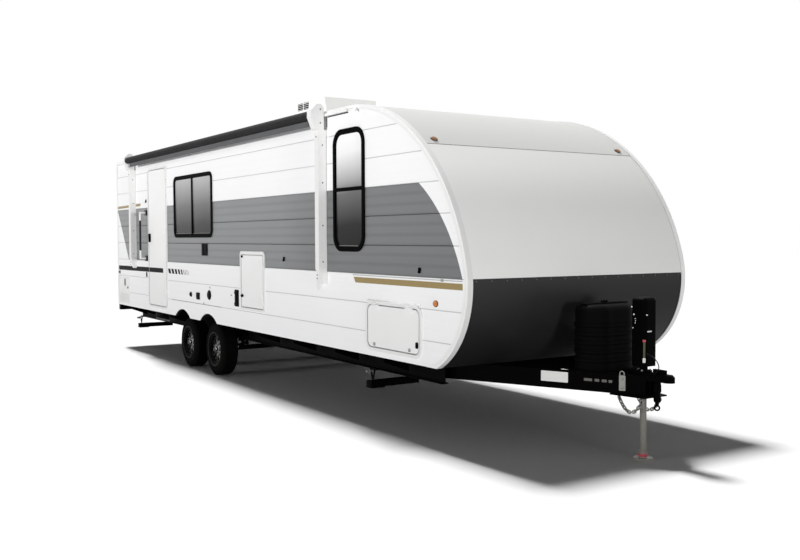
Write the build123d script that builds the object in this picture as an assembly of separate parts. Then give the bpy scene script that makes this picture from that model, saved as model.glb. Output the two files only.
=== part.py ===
"""Travel caravan: a tandem-axle towed caravan with a hollow panelled body on a steel chassis.

It is drawn with x forward from the rear wall, y to the left and z up from the ground.
Each node is moved on export so that the origin is the centre of the tow ball.
"""
import os
from math import acos, cos, pi, radians, sin, sqrt, tan

from build123d import *

os.makedirs("parts", exist_ok=True)

RIGHT = -1
LEFT = 1

# --- General clearances ------------------------------------------------------------------------
PART_GAP = 0.5                # between pieces that are fitted into one another
CUT_PAST = 1.0                # how far a cut runs past the faces that it opens
MIN_CORNER = 4.0              # the smallest corner radius that a panel keeps

# --- Body shell --------------------------------------------------------------------------------
BODY_LENGTH = 9390.0          # from the rear wall to the nose's tip
BODY_WIDTH = 2438.0
BODY_BOTTOM = 677.0
ROOF_TOP = 2940.0
WALL = 45.0
ROOF_THICKNESS = 60.0
FLOOR_THICKNESS = 80.0
REAR_CORNER_RADIUS = 60.0
CAP_THICKNESS = 40.0
BROW_RADIUS = 1862.0          # the long upper sweep of the front
BROW_TURN = radians(75.5)     # the front's normal, from straight up, where the nose's sweep starts
NOSE_END = radians(154.2)     # the same at the body's bottom
ROOF_SEAM_DROP = 440.0        # from the roof's top to where its skin meets the front cap
BAND_SEAM_HEIGHT = 1411.0     # where the white cap meets its dark lower band
SEAM_DATUM = 1407.0
SIDING_PITCH = 258.0
SEAMS_BELOW_DATUM = 2
SEAMS_ABOVE_DATUM = 5
SEAM_DEPTH = 4.0
SEAM_WIDTH = 10.0
MOULDING_WIDTH = 45.0
MOULDING_PROUD = 5.0
GUTTER_DEPTH = 22.0
GUTTER_HEIGHT = 26.0
GUTTER_WALL = 4.0
GUTTER_DROP = 22.0            # from the roof's top to the gutter's top

HALF_WIDTH = BODY_WIDTH / 2
INNER_HALF = HALF_WIDTH - WALL
NOSE_RISE = ROOF_TOP - BODY_BOTTOM - BROW_RADIUS * (1 - cos(BROW_TURN))
NOSE_RADIUS = NOSE_RISE / (cos(BROW_TURN) - cos(NOSE_END))
ROOF_LENGTH = BODY_LENGTH - NOSE_RADIUS - (BROW_RADIUS - NOSE_RADIUS) * sin(BROW_TURN)
ROOF_SEAM_HEIGHT = ROOF_TOP - ROOF_SEAM_DROP
BROW_CENTRE = (ROOF_LENGTH, ROOF_TOP - BROW_RADIUS)
NOSE_CENTRE = (
    ROOF_LENGTH + (BROW_RADIUS - NOSE_RADIUS) * sin(BROW_TURN),
    ROOF_TOP - BROW_RADIUS + (BROW_RADIUS - NOSE_RADIUS) * cos(BROW_TURN),
)

# --- Windows -----------------------------------------------------------------------------------
NO_BAR = 0
UPRIGHT_BAR = 1
LEVEL_BAR = 2
FRONT_WINDOW_SETBACK = 2116.0  # from the nose's tip back to the front windows' rear ends
FRONT_WINDOW_REAR = BODY_LENGTH - FRONT_WINDOW_SETBACK
SIDE_WINDOWS = (              # side, rear end, length, sill height, top below the roof, corner, bar
    (RIGHT, 2739.0, 1407.0, 1741.0, 379.0, 95.0, UPRIGHT_BAR),
    (RIGHT, FRONT_WINDOW_REAR, 578.0, 1603.0, 199.0, 150.0, LEVEL_BAR),
    (LEFT, 1450.0, 800.0, 1741.0, 599.0, 95.0, NO_BAR),
    (LEFT, 4500.0, 1407.0, 1741.0, 379.0, 95.0, UPRIGHT_BAR),
    (LEFT, FRONT_WINDOW_REAR, 578.0, 1603.0, 199.0, 150.0, LEVEL_BAR),
)
REAR_WINDOW_WIDTH = 1100.0
REAR_WINDOW_BOTTOM = 1741.0
REAR_WINDOW_HEAD = 599.0
REAR_WINDOW_TOP = ROOF_TOP - REAR_WINDOW_HEAD
REAR_WINDOW_RADIUS = 95.0
WINDOW_FLANGE = 42.0
WINDOW_PROUD = 14.0
WINDOW_LAP = 20.0             # how far the flange covers the wall round its hole
WINDOW_JAMB = 8.0
WINDOW_BAR = 34.0
WINDOW_BAR_HEIGHT = 2181.0    # the level bar's own height above the ground
GLASS = 6.0

# --- Entry door and hatches --------------------------------------------------------------------
DOOR_REAR = 1600.0
DOOR_WIDTH = 840.0
DOOR_FRONT = DOOR_REAR + DOOR_WIDTH
DOOR_SILL = 58.0
DOOR_BOTTOM = BODY_BOTTOM + DOOR_SILL
DOOR_HEAD = 194.0
DOOR_TOP = ROOF_TOP - DOOR_HEAD
DOOR_RADIUS = 85.0
KITCHEN_REAR = 5006.0
KITCHEN_WIDTH = 680.0
KITCHEN_FRONT = KITCHEN_REAR + KITCHEN_WIDTH
KITCHEN_SILL = 228.0
KITCHEN_BOTTOM = BODY_BOTTOM + KITCHEN_SILL
KITCHEN_HEIGHT = 670.0
KITCHEN_TOP = KITCHEN_BOTTOM + KITCHEN_HEIGHT
KITCHEN_RADIUS = 40.0
LOCKER_SETBACK = 619.0
LOCKER_FRONT = BODY_LENGTH - LOCKER_SETBACK
LOCKER_LENGTH = 902.0
LOCKER_REAR = LOCKER_FRONT - LOCKER_LENGTH
LOCKER_SILL = 49.0
LOCKER_BOTTOM = BODY_BOTTOM + LOCKER_SILL
LOCKER_HEIGHT = 445.0
LOCKER_TOP = LOCKER_BOTTOM + LOCKER_HEIGHT
LOCKER_RADIUS = 95.0
FRAME_FLANGE = 30.0
FRAME_PROUD = 12.0
FRAME_LAP = 20.0
FRAME_JAMB = 8.0
FRAME_STOP = 12.0             # how far the lip behind the slab stands into the opening
FRAME_STOP_THICKNESS = 4.0
SLAB_THICKNESS = 34.0
SLAB_GAP = 6.0
SLAB_RECESS = 2.0             # the slab's face behind the flange's face
HINGE_PROUD = 11.0            # from the flange's face out to the hinge pin
KNUCKLE_DIAMETER = 13.0
KNUCKLE_LENGTH = 50.0
KNUCKLE_GAP = 3.0
LEAF_WIDTH = 26.0
DOOR_KNUCKLES = (0.12, 0.5, 0.88)
HATCH_KNUCKLES = (0.2, 0.8)
LATCH_PROUD = 14.0
LATCH_WIDTH = 60.0
LATCH_INSET = 12.0            # from the slab's rear edge to the latch
LATCH_BOTTOM = 1685.0
LATCH_HEIGHT = 115.0
LATCH_TOP = LATCH_BOTTOM + LATCH_HEIGHT
HANDLE_SETBACK = 100.0
HANDLE_X = DOOR_REAR - HANDLE_SETBACK  # grab handle, just behind the door
HANDLE_BOTTOM = 1440.0
HANDLE_HEIGHT = 670.0
HANDLE_TOP = HANDLE_BOTTOM + HANDLE_HEIGHT
HANDLE_REACH = 95.0
HANDLE_DIAMETER = 28.0
HANDLE_BASE = 80.0
HANDLE_BASE_THICKNESS = 18.0

# --- Awning ------------------------------------------------------------------------------------
AWNING_ARM_REAR = 960.0
AWNING_SETBACK = 2305.0
AWNING_ARM_FRONT = BODY_LENGTH - AWNING_SETBACK
AWNING_REACH = 116.0
AWNING_ROLLER_Y = HALF_WIDTH + AWNING_REACH
AWNING_ROLLER_DROP = 35.0
AWNING_ROLLER_HEIGHT = ROOF_TOP - AWNING_ROLLER_DROP
AWNING_ROLLER_DIAMETER = 96.0
AWNING_VALANCE_REAR_GAP = 160.0
AWNING_VALANCE_FRONT_GAP = 104.0
AWNING_VALANCE_DROP = 55.0
AWNING_VALANCE_THICKNESS = 8.0
AWNING_ARM_WIDTH = 78.0
AWNING_ARM_DEPTH = 88.0
AWNING_ARM_BOTTOM = 1285.0
AWNING_ARM_TAPER = 150.0
AWNING_ARM_TOE = 40.0         # the arm's depth at its foot
AWNING_ARM_HEAD = 175.0
AWNING_ARM_TOP = ROOF_TOP - AWNING_ARM_HEAD
AWNING_HEAD_WIDTH = 90.0
AWNING_HEAD_DEPTH = 135.0
AWNING_HEAD_HEIGHT = 245.0
AWNING_HEAD_CHAMFER = 58.0
AWNING_HEAD_CHEEK = 70.0      # the straight part of a head's outer edge
AWNING_HEAD_TOE = 88.0        # a head's depth at its foot
AWNING_HEAD_GAP = 2.0         # between a head and the gutter

# --- Roof equipment ----------------------------------------------------------------------------
COOLER_SETBACK = 4440.0
COOLER_X = BODY_LENGTH - COOLER_SETBACK
COOLER_LENGTH = 1010.0
COOLER_WIDTH = 690.0
COOLER_HEIGHT = 430.0
COOLER_REAR_RAKE = 60.0
COOLER_SHOULDER_LENGTH = 80.0
COOLER_SHOULDER_DROP = 60.0
COOLER_FRONT_LENGTH = 70.0    # the raked face in front of the cooler's block
COOLER_NOSE_HEIGHT = 90.0
COOLER_CORNER = 70.0
FRONT_VENT_SETBACK = 2490.0
VENTS = (                     # x, y, side, height
    (1600.0, 0.0, 420.0, 75.0),
    (BODY_LENGTH - FRONT_VENT_SETBACK, 300.0, 420.0, 75.0),
    (3500.0, -450.0, 110.0, 90.0),
)

# --- Chassis -----------------------------------------------------------------------------------
RAIL_REAR = 130.0
RAIL_SETBACK = 790.0
RAIL_FRONT = BODY_LENGTH - RAIL_SETBACK
RAIL_INSET = 349.0
RAIL_Y = HALF_WIDTH - RAIL_INSET
RAIL_DEPTH = 203.0
RAIL_FLANGE = 70.0
RAIL_WEB = 7.0
RAIL_FLANGE_THICKNESS = 9.0
RAIL_BOTTOM = BODY_BOTTOM - RAIL_DEPTH
CROSS_MEMBER_START = 570.0    # from the rails' rear ends to the first one
CROSS_MEMBER_PITCH = 900.0
CROSS_MEMBER_WIDTH = 50.0
CROSS_MEMBER_DEPTH = 100.0
OUTRIGGERS_BEHIND = (113.0, 1313.0, 2153.0)    # from the wheel wells' rear ends back
OUTRIGGER_START = 149.0       # from the wheel wells' front ends to the next one
OUTRIGGER_PITCH = 900.0
OUTRIGGER_THICKNESS = 6.0
OUTRIGGER_ROOT = 150.0
OUTRIGGER_TIP = 50.0
FRAME_END_GAP = 300.0         # from the last cross piece to the rails' front ends, at least
BUMPER_REAR = -75.0
BUMPER_SIZE = 92.0
BUMPER_WALL = 4.0
BUMPER_INSET = 29.0
BUMPER_HALF_WIDTH = HALF_WIDTH - BUMPER_INSET
BUMPER_STEM = 50.0
BUMPER_GAP = 1.0              # under the body's bottom

# --- Tongue: A-frame, coupler and jack ---------------------------------------------------------
TONGUE_REACH = 896.0          # from the nose's tip to the ball's centre
BALL_X = BODY_LENGTH + TONGUE_REACH
BALL_BORE_RADIUS = 29.9
A_FRAME_GAP = 19.0
A_FRAME_TOP = BODY_BOTTOM - A_FRAME_GAP
A_FRAME_DEPTH = 150.0
A_FRAME_BOTTOM = A_FRAME_TOP - A_FRAME_DEPTH
A_FRAME_WIDTH = 50.0
A_FRAME_WALL = 6.0
A_FRAME_HALF_ANGLE = radians(25.0)
A_FRAME_SETBACK = 50.0
A_FRAME_APEX = BALL_X - A_FRAME_SETBACK  # where the members' outer faces would meet
A_FRAME_TIP_CUT = 60.0        # half width at which the members end, inside the coupler
BALL_DROP = 18.0
BALL_HEIGHT = A_FRAME_TOP - BALL_DROP
JACK_SETBACK = 252.0
JACK_X = BALL_X - JACK_SETBACK
JACK_FLANGE = 130.0
JACK_FLANGE_THICKNESS = 12.0
JACK_TUBE_DIAMETER = 63.5
JACK_TUBE_DROP = 33.0         # below the A-frame's bottom
JACK_BORE = 54.0
JACK_RAM_DIAMETER = 51.0
JACK_RAM_TOP = 640.0
JACK_HEAD_LIFT = 49.0         # from the coupler's top to the motor head's bottom
JACK_HEAD_HEIGHT = 532.0
JACK_HEAD_SIZE = 146.0
JACK_HEAD_RADIUS = 34.0
JACK_HEAD_CROWN = 30.0
JACK_LIFT = 395.0
JACK_RAM_GAP = 20.0           # over the ram when it is fully in
JACK_FOOT_DIAMETER = 147.0
JACK_FOOT_THICKNESS = 12.0
JACK_FOOT_SOCKET = 70.0
JACK_FOOT_SOCKET_HEIGHT = 60.0
COUPLER_WALL = 14.0
COUPLER_BELOW_BALL = 12.0
COUPLER_HEAD_RADIUS = 45.0
COUPLER_HEAD_CHAMFER = 14.0
COUPLER_ROOT_WIDTH = 150.0
COUPLER_BEHIND_JACK = 44.0
COUPLER_REAR = JACK_X - COUPLER_BEHIND_JACK
COUPLER_COVER = 8.0           # over the A-frame's top
COUPLER_LATCH_HEIGHT = 34.0
COUPLER_LATCH_LENGTH = 116.0
COUPLER_LATCH_WIDTH = 28.0
COUPLER_LATCH_SETBACK = 30.0  # behind the ball's centre
GUSSET_BEHIND_JACK = 174.0
GUSSET_REAR = JACK_X - GUSSET_BEHIND_JACK
GUSSET_BEFORE_JACK = 126.0
GUSSET_FRONT = JACK_X + GUSSET_BEFORE_JACK
GUSSET_REAR_HALF = 190.0
GUSSET_FRONT_HALF = 125.0
GUSSET_THICKNESS = 10.0

# --- Gas bottle cover --------------------------------------------------------------------------
COVER_DEPTH = 336.0
COVER_WIDTH = 536.0
COVER_HEIGHT = 522.0
COVER_CROWN = 55.0
COVER_NOSE_GAP = 50.0         # between the body's nose and the cover
COVER_RIB = 9.0               # how far a hoop stands out
COVER_HOOPS = 5
COVER_HOOP_HEIGHT = 32.0
COVER_HOOP_PITCH = 70.0
COVER_FIRST_HOOP = 60.0       # from the cover's bottom to its lowest hoop
COVER_STRAP_WIDTH = 60.0
COVER_STRAP_THICKNESS = 10.0
COVER_STRAP_SEAT = 2.0        # how far the strap is let into the crown
COVER_STRAP_END_GAP = 30.0
TRAY_THICKNESS = 10.0
TRAY_LIP_X = 12.0             # how far the tray reaches past the cover
TRAY_LIP_Y = 20.0
COVER_X = BODY_LENGTH + COVER_NOSE_GAP + COVER_DEPTH / 2
COVER_BOTTOM = A_FRAME_TOP + TRAY_THICKNESS
COVER_TOP = COVER_BOTTOM + COVER_HEIGHT

# --- Running gear ------------------------------------------------------------------------------
REAR_AXLE_X = 3012.0
AXLE_SPREAD = 940.0
AXLES_X = (REAR_AXLE_X, REAR_AXLE_X + AXLE_SPREAD)
TYRE_RADIUS = 331.0
TYRE_WIDTH = 205.0
TYRE_BEAD_INSET = 22.0        # the bead's face inside the sidewall's
TYRE_SIDEWALL_LOW = 42.0      # from the rim to where the sidewall is flat
TYRE_SHOULDER = 59.0          # from the tread down to where the sidewall is flat
TYRE_EDGE_DROP = 8.0
TYRE_EDGE_INSET = 24.0
TYRE_TREAD_INSET = 46.0       # the flat tread's edge inside the sidewall's face
WHEEL_INSET = 179.0
WHEEL_Y = HALF_WIDTH - WHEEL_INSET
RIM_RADIUS = 178.0
RIM_WALL = 7.0
RIM_DISC = 10.0
RIM_DISC_OFFSET = 52.0        # outboard of the wheel's centre plane
RIM_DISC_DISH = 12.0
RIM_WINDOWS = 8
RIM_WINDOW_DIAMETER = 52.0
RIM_WINDOW_CIRCLE = 118.0
HUB_RADIUS = 76.0
HUB_LENGTH = 80.0
HUB_CAP_RADIUS = 33.0
HUB_CAP_LENGTH = 48.0
HUB_CAP_EDGE = 6.0
SPINDLE_DIAMETER = 44.0
SPINDLE_CLEARANCE = 0.3
SPINDLE_REACH = 84.0          # outboard of the wheel's centre plane
SPINDLE_END_GAP = 2.0
AXLE_DIAMETER = 60.0
BACKING_RADIUS = 132.0
BACKING_THICKNESS = 8.0
BACKING_GAP = 8.0
ARCH_CLEARANCE = 120.0
ARCH_RADIUS = TYRE_RADIUS + ARCH_CLEARANCE
WELL_CLEARANCE = 128.0
WELL_TOP = 2 * TYRE_RADIUS + WELL_CLEARANCE
WELL_SKIN = 10.0
WELL_DEPTH = 304.0
WELL_INNER_Y = HALF_WIDTH - WELL_DEPTH
WELL_END_GAP = 90.0           # from the arch's end to the well's end
SPRING_HALF = 330.0
SPRING_WIDTH = 44.0
SPRING_THICKNESS = 30.0
SPRING_EYE_DROP = 49.0        # below the rails' bottom
HANGER_LENGTH = 90.0
HANGER_CHEEK = 8.0
HANGER_SIDE_GAP = 1.0
HANGER_CROWN = 12.0
HANGER_DROP = 69.0            # below the rails' bottom
HANGER_LAP = 20.0             # how far the middle hanger reaches over each spring's end
EQUALISER_GAP = 8.0
EQUALISER_DEPTH = 26.0

# --- Corner stabilisers ------------------------------------------------------------------------
STABILISER_REAR_SETBACK = 20.0
STABILISER_REAR_X = RAIL_REAR + STABILISER_REAR_SETBACK
STABILISER_FRONT_SETBACK = 1160.0
STABILISER_FRONT_X = RAIL_FRONT - STABILISER_FRONT_SETBACK
STABILISERS = (               # name, x, side
    ("rear_right", STABILISER_REAR_X, RIGHT),
    ("rear_left", STABILISER_REAR_X, LEFT),
    ("front_right", STABILISER_FRONT_X, RIGHT),
    ("front_left", STABILISER_FRONT_X, LEFT),
)
STABILISER_INSET = 276.0
STABILISER_OUTER_Y = HALF_WIDTH - STABILISER_INSET
STABILISER_LENGTH = 547.0
STABILISER_INNER_Y = STABILISER_OUTER_Y - STABILISER_LENGTH
STABILISER_DROP = 144.0
STABILISER_PIVOT_HEIGHT = RAIL_BOTTOM - STABILISER_DROP
STABILISER_PIVOT_INSET = 30.0
STABILISER_LEG_DEPTH = 60.0
STABILISER_LEG_WIDTH = 90.0
STABILISER_WALL = 6.0
STABILISER_FOOT = 150.0
STABILISER_FOOT_THICKNESS = 8.0
STABILISER_FOOT_LAP = 10.0
STABILISER_SIDE_GAP = 5.0
STABILISER_TOP_THICKNESS = 12.0
STABILISER_CHEEK_HALF = 60.0  # half of a cheek's width where it leaves the top plate
STABILISER_TOE_HALF = 18.0
STABILISER_V_HALF = 52.0      # the outboard V bracket's half width at its top
STABILISER_V_BAR = 22.0
STABILISER_V_TOE = 14.0
STABILISER_V_THROAT = 34.0    # from the leg's top to the V's inside corner
STABILISER_V_THICKNESS = 8.0
PIVOT_DIAMETER = 16.0
PIVOT_CLEARANCE = 0.3

# --- Entry step --------------------------------------------------------------------------------
STEP_X = (DOOR_REAR + DOOR_FRONT) / 2
STEP_WIDTH = 640.0
STEP_INSET = 54.0
STEP_OUTER_Y = HALF_WIDTH - STEP_INSET
STEP_DEPTH = 240.0
STEP_PLATE = 6.0
STEP_FRAME_HEIGHT = 60.0
STEP_SLIDE_GAP = 6.0
STEP_ARM_DROP = 118.0         # from the body's bottom to the tread's underside
STEP_TREAD_THICKNESS = 20.0
STEP_TREAD_DEPTH = 225.0

# --- Lamps -------------------------------------------------------------------------------------
SIDE_MARKER_REAR = 86.0
SIDE_MARKER_SETBACK = 430.0
SIDE_MARKERS_X = (SIDE_MARKER_REAR, BODY_LENGTH - SIDE_MARKER_SETBACK)
SIDE_MARKER_HEIGHT = 1200.0
SIDE_MARKER_LENGTH = 70.0
SIDE_MARKER_TALL = 55.0
SIDE_MARKER_PROUD = 16.0
CAP_MARKER_INSET = 159.0
CAP_MARKER_Y = HALF_WIDTH - CAP_MARKER_INSET
CAP_MARKER_RISE = 45.0
CAP_MARKER_HEIGHT = ROOF_SEAM_HEIGHT + CAP_MARKER_RISE
CAP_MARKER_SIZE = 70.0
TAIL_LAMP_INSET = 199.0
TAIL_LAMP_Y = HALF_WIDTH - TAIL_LAMP_INSET
TAIL_LAMP_WIDTH = 170.0
TAIL_LAMP_BOTTOM = 1180.0
TAIL_LAMP_HEIGHT = 380.0
TAIL_LAMP_TOP = TAIL_LAMP_BOTTOM + TAIL_LAMP_HEIGHT
TAIL_LAMP_PROUD = 30.0

# --- Chains and cable --------------------------------------------------------------------------
CHAIN_WIRE = 8.0
CHAIN_OPENING = 30.0          # inside length of one link
CHAIN_LINK_WIDTH = 30.0
CHAIN_SLACK = 2.0             # between one link's end and the next
CHAIN_REAR_INSET = 20.0
CHAIN_REAR = GUSSET_REAR + CHAIN_REAR_INSET
CHAIN_FRONT_INSET = 50.0
CHAIN_FRONT = GUSSET_FRONT - CHAIN_FRONT_INSET
CHAIN_Y = 100.0
CHAIN_DROP = 95.0
CHAIN_LUG_DIAMETER = 7.0
CHAIN_LUG_REACH = 34.0        # from the gusset's underside down to the first link
CHAIN_STEPS = 400
CABLE_DIAMETER = 8.0
CABLE_BEND_SHARE = 0.45
CABLE_POINTS = (              # x, y, height
    (10107.0, -45.0, 832.0),
    (10152.0, -56.0, 829.0),
    (10200.0, -64.0, 811.0),
    (10238.0, -65.0, 777.0),
    (10241.0, -56.0, 735.0),
    (10210.0, -45.0, 705.0),
    (10176.0, -38.0, 684.0),
)

nodes = {}


# --- Shapes used by many pieces ----------------------------------------------------------------
def block(x_low, x_high, y_low, y_high, z_low, z_high):
    """A box between two opposite corners."""
    middle = Pos((x_low + x_high) / 2, (y_low + y_high) / 2, (z_low + z_high) / 2)
    return middle * Box(x_high - x_low, y_high - y_low, z_high - z_low)


def rod(start, end, diameter):
    """A round bar from one point to another."""
    run = Vector(*end) - Vector(*start)
    return extrude(Plane(origin=start, z_dir=run) * Circle(diameter / 2), run.length)


def side_panel(x_low, x_high, z_low, z_high, radius, y_low, y_high):
    """An upright plate along the body's side, with rounded corners."""
    face_plane = Plane(
        origin=((x_low + x_high) / 2, y_high, (z_low + z_high) / 2),
        x_dir=(1, 0, 0),
        z_dir=(0, -1, 0),
    )
    outline = face_plane * RectangleRounded(x_high - x_low, z_high - z_low, radius)
    return extrude(outline, y_high - y_low)


def side_ring(x_low, x_high, z_low, z_high, radius, width, y_low, y_high):
    """A frame cut from an upright plate."""
    plate = side_panel(x_low, x_high, z_low, z_high, radius, y_low, y_high)
    hole = side_panel(
        x_low + width, x_high - width, z_low + width, z_high - width,
        max(radius - width, MIN_CORNER), y_low - CUT_PAST, y_high + CUT_PAST,
    )
    return plate - hole


def side_outline(points, y_low, y_high):
    """A plate with a straight-sided outline of (x, z) points."""
    corners = [(x, y_low, z) for x, z in points]
    face = make_face(Polyline(*corners, close=True))
    return extrude(face, y_high - y_low, dir=(0, 1, 0))


def cross_outline(points, x_low, x_high):
    """A plate across the body with an outline of (y, z) points."""
    corners = [(x_low, y, z) for y, z in points]
    face = make_face(Polyline(*corners, close=True))
    return extrude(face, x_high - x_low, dir=(1, 0, 0))


def on_side(shape, side):
    """A shape drawn for the right side, put on the side that is named."""
    return shape if side == RIGHT else mirror(shape, about=Plane.XZ)


def both_sides(shape):
    """The same shape on the right and on the left."""
    return [shape, mirror(shape, about=Plane.XZ)]


def stations(first, pitch, last):
    """Evenly spaced places from the first one up to the last."""
    count = int((last - first) // pitch) + 1
    return [first + number * pitch for number in range(count)]


def solids_of(shapes):
    """All solids in a list of shapes."""
    found = []
    for shape in shapes:
        found.extend(shape.solids())
    return found


# --- The body's side outline -------------------------------------------------------------------
def front_point(angle, inset):
    """A point on the front's curve, by the angle of its normal from straight up."""
    on_brow = angle <= BROW_TURN
    centre = BROW_CENTRE if on_brow else NOSE_CENTRE
    radius = (BROW_RADIUS if on_brow else NOSE_RADIUS) - inset
    return (centre[0] + radius * sin(angle), 0, centre[1] + radius * cos(angle))


def angle_at_height(height, inset=0.0):
    """The front curve's normal angle at a height above the ground."""
    turn_height = front_point(BROW_TURN, inset)[2]
    if height >= turn_height:
        return acos((height - BROW_CENTRE[1]) / (BROW_RADIUS - inset))
    return acos((height - NOSE_CENTRE[1]) / (NOSE_RADIUS - inset))


def front_x(height, inset=0.0):
    """How far forward the front curve is at a height."""
    return front_point(angle_at_height(height, inset), inset)[0]


def front_arcs(start, end, inset):
    """The front curve's arcs between two normal angles."""
    stops = [start, end]
    if start < BROW_TURN < end:
        stops = [start, BROW_TURN, end]
    arcs = []
    for first, last in zip(stops[:-1], stops[1:]):
        middle = (first + last) / 2
        begin = front_point(first, inset)
        if first >= BROW_TURN:
            radius = NOSE_RADIUS - inset
            begin = (NOSE_CENTRE[0] + radius * sin(first), 0, NOSE_CENTRE[1] + radius * cos(first))
        arcs.append(ThreePointArc(begin, front_point(middle, inset), front_point(last, inset)))
    return arcs


def front_shell(top_angle, bottom_angle, outer, inner, y_low, y_high):
    """A curved panel that follows the front between two normal angles."""
    outside = front_arcs(top_angle, bottom_angle, outer)
    inside = front_arcs(top_angle, bottom_angle, inner)
    top_edge = Line(front_point(top_angle, outer), front_point(top_angle, inner))
    bottom_edge = Line(front_point(bottom_angle, outer), front_point(bottom_angle, inner))
    face = make_face([*outside, *inside, top_edge, bottom_edge])
    return Pos(0, y_low, 0) * extrude(face, y_high - y_low, dir=(0, 1, 0))


def body_outline(inset, y_low, y_high):
    """The whole side outline of the body as a plate, its edge moved in by the inset."""
    corner = REAR_CORNER_RADIUS
    reach = corner - inset
    diagonal = corner - reach * sin(pi / 4)
    bottom_angle = angle_at_height(BODY_BOTTOM, inset)
    rear_bottom = (inset, 0, BODY_BOTTOM)
    rear_top = (inset, 0, ROOF_TOP - corner)
    corner_middle = (diagonal, 0, ROOF_TOP - diagonal)
    roof_rear = (corner, 0, ROOF_TOP - inset)
    edges = [
        Line(rear_bottom, rear_top),
        ThreePointArc(rear_top, corner_middle, roof_rear),
        Line(roof_rear, front_point(0, inset)),
        *front_arcs(0, bottom_angle, inset),
        Line(front_point(bottom_angle, inset), rear_bottom),
    ]
    return Pos(0, y_low, 0) * extrude(make_face(edges), y_high - y_low, dir=(0, 1, 0))


# --- Side walls --------------------------------------------------------------------------------
def siding_seams():
    """The notches where one row of siding meets the next."""
    notches = []
    for step in range(-SEAMS_BELOW_DATUM, SEAMS_ABOVE_DATUM + 1):
        height = SEAM_DATUM + step * SIDING_PITCH
        outline = [
            (-HALF_WIDTH - CUT_PAST, height - SEAM_WIDTH / 2),
            (-HALF_WIDTH - CUT_PAST, height + SEAM_WIDTH / 2),
            (-HALF_WIDTH + SEAM_DEPTH, height),
        ]
        notches.append(cross_outline(outline, -CUT_PAST, BODY_LENGTH + CUT_PAST))
    return notches


def wheel_arches():
    """The round cut-outs over the wheels."""
    holes = []
    for axle_x in AXLES_X:
        start = (axle_x, -HALF_WIDTH - CUT_PAST, TYRE_RADIUS)
        end = (axle_x, -INNER_HALF + CUT_PAST, TYRE_RADIUS)
        holes.append(rod(start, end, 2 * ARCH_RADIUS))
    return holes


def wall_hole(x_low, x_high, z_low, z_high, radius, lap):
    """The hole that a frame's jamb passes through."""
    return side_panel(
        x_low + lap, x_high - lap, z_low + lap, z_high - lap,
        radius - lap, -HALF_WIDTH - CUT_PAST, -INNER_HALF + CUT_PAST,
    )


DOORS = (                     # side, rear, front, bottom, top, corner radius
    (RIGHT, DOOR_REAR, DOOR_FRONT, DOOR_BOTTOM, DOOR_TOP, DOOR_RADIUS),
    (RIGHT, KITCHEN_REAR, KITCHEN_FRONT, KITCHEN_BOTTOM, KITCHEN_TOP, KITCHEN_RADIUS),
    (RIGHT, LOCKER_REAR, LOCKER_FRONT, LOCKER_BOTTOM, LOCKER_TOP, LOCKER_RADIUS),
    (LEFT, LOCKER_REAR, LOCKER_FRONT, LOCKER_BOTTOM, LOCKER_TOP, LOCKER_RADIUS),
)


def side_wall(side):
    """One side wall, drawn as the right one."""
    wall = body_outline(0, -HALF_WIDTH, -INNER_HALF)
    cuts = siding_seams() + wheel_arches()
    for hole_side, rear, length, bottom, drop, radius, bar in SIDE_WINDOWS:
        if hole_side == side:
            cuts.append(wall_hole(rear, rear + length, bottom, ROOF_TOP - drop, radius, WINDOW_LAP))
    for hole_side, rear, front, bottom, top, radius in DOORS:
        if hole_side == side:
            cuts.append(wall_hole(rear, front, bottom, top, radius, FRAME_LAP))
    return on_side(wall - cuts, side)


nodes["side_wall_right"] = side_wall(RIGHT)
nodes["side_wall_left"] = side_wall(LEFT)

# --- Floor, roof, front and rear ---------------------------------------------------------------
floor_top = BODY_BOTTOM + FLOOR_THICKNESS
arch_reach = sqrt(ARCH_RADIUS ** 2 - (BODY_BOTTOM - TYRE_RADIUS) ** 2)
well_rear = AXLES_X[0] - arch_reach - WELL_END_GAP
well_front = AXLES_X[-1] + arch_reach + WELL_END_GAP
floor_front = front_x(BODY_BOTTOM, CAP_THICKNESS)
floor = block(WALL, floor_front, -INNER_HALF, INNER_HALF, BODY_BOTTOM, floor_top)
well_cut = block(
    well_rear, well_front, -INNER_HALF - CUT_PAST, -WELL_INNER_Y, BODY_BOTTOM - CUT_PAST,
    floor_top + CUT_PAST)
nodes["floor"] = floor - both_sides(well_cut)

well_outside = block(
    well_rear, well_front, -INNER_HALF, -WELL_INNER_Y, BODY_BOTTOM, WELL_TOP)
well_inside = block(
    well_rear + WELL_SKIN, well_front - WELL_SKIN, -INNER_HALF - CUT_PAST,
    -WELL_INNER_Y - WELL_SKIN, BODY_BOTTOM - CUT_PAST, WELL_TOP - WELL_SKIN)
nodes["wheel_wells"] = both_sides(well_outside - well_inside)

roof_seam = angle_at_height(ROOF_SEAM_HEIGHT)
band_seam = angle_at_height(BAND_SEAM_HEIGHT)
cap_bottom = angle_at_height(BODY_BOTTOM, CAP_THICKNESS)
roof_flat = block(
    REAR_CORNER_RADIUS, ROOF_LENGTH, -INNER_HALF, INNER_HALF, ROOF_TOP - ROOF_THICKNESS, ROOF_TOP)
roof_brow = front_shell(0, roof_seam, 0, ROOF_THICKNESS, -INNER_HALF, INNER_HALF)
nodes["roof"] = roof_flat + roof_brow
nodes["front_cap"] = front_shell(roof_seam, band_seam, 0, CAP_THICKNESS, -INNER_HALF, INNER_HALF)
lower_cap = front_shell(band_seam, cap_bottom, 0, CAP_THICKNESS, -INNER_HALF, INNER_HALF)
under_body = block(0, BODY_LENGTH, -HALF_WIDTH, HALF_WIDTH, 0, BODY_BOTTOM)
nodes["front_cap_band"] = lower_cap - under_body - nodes["floor"]

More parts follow.
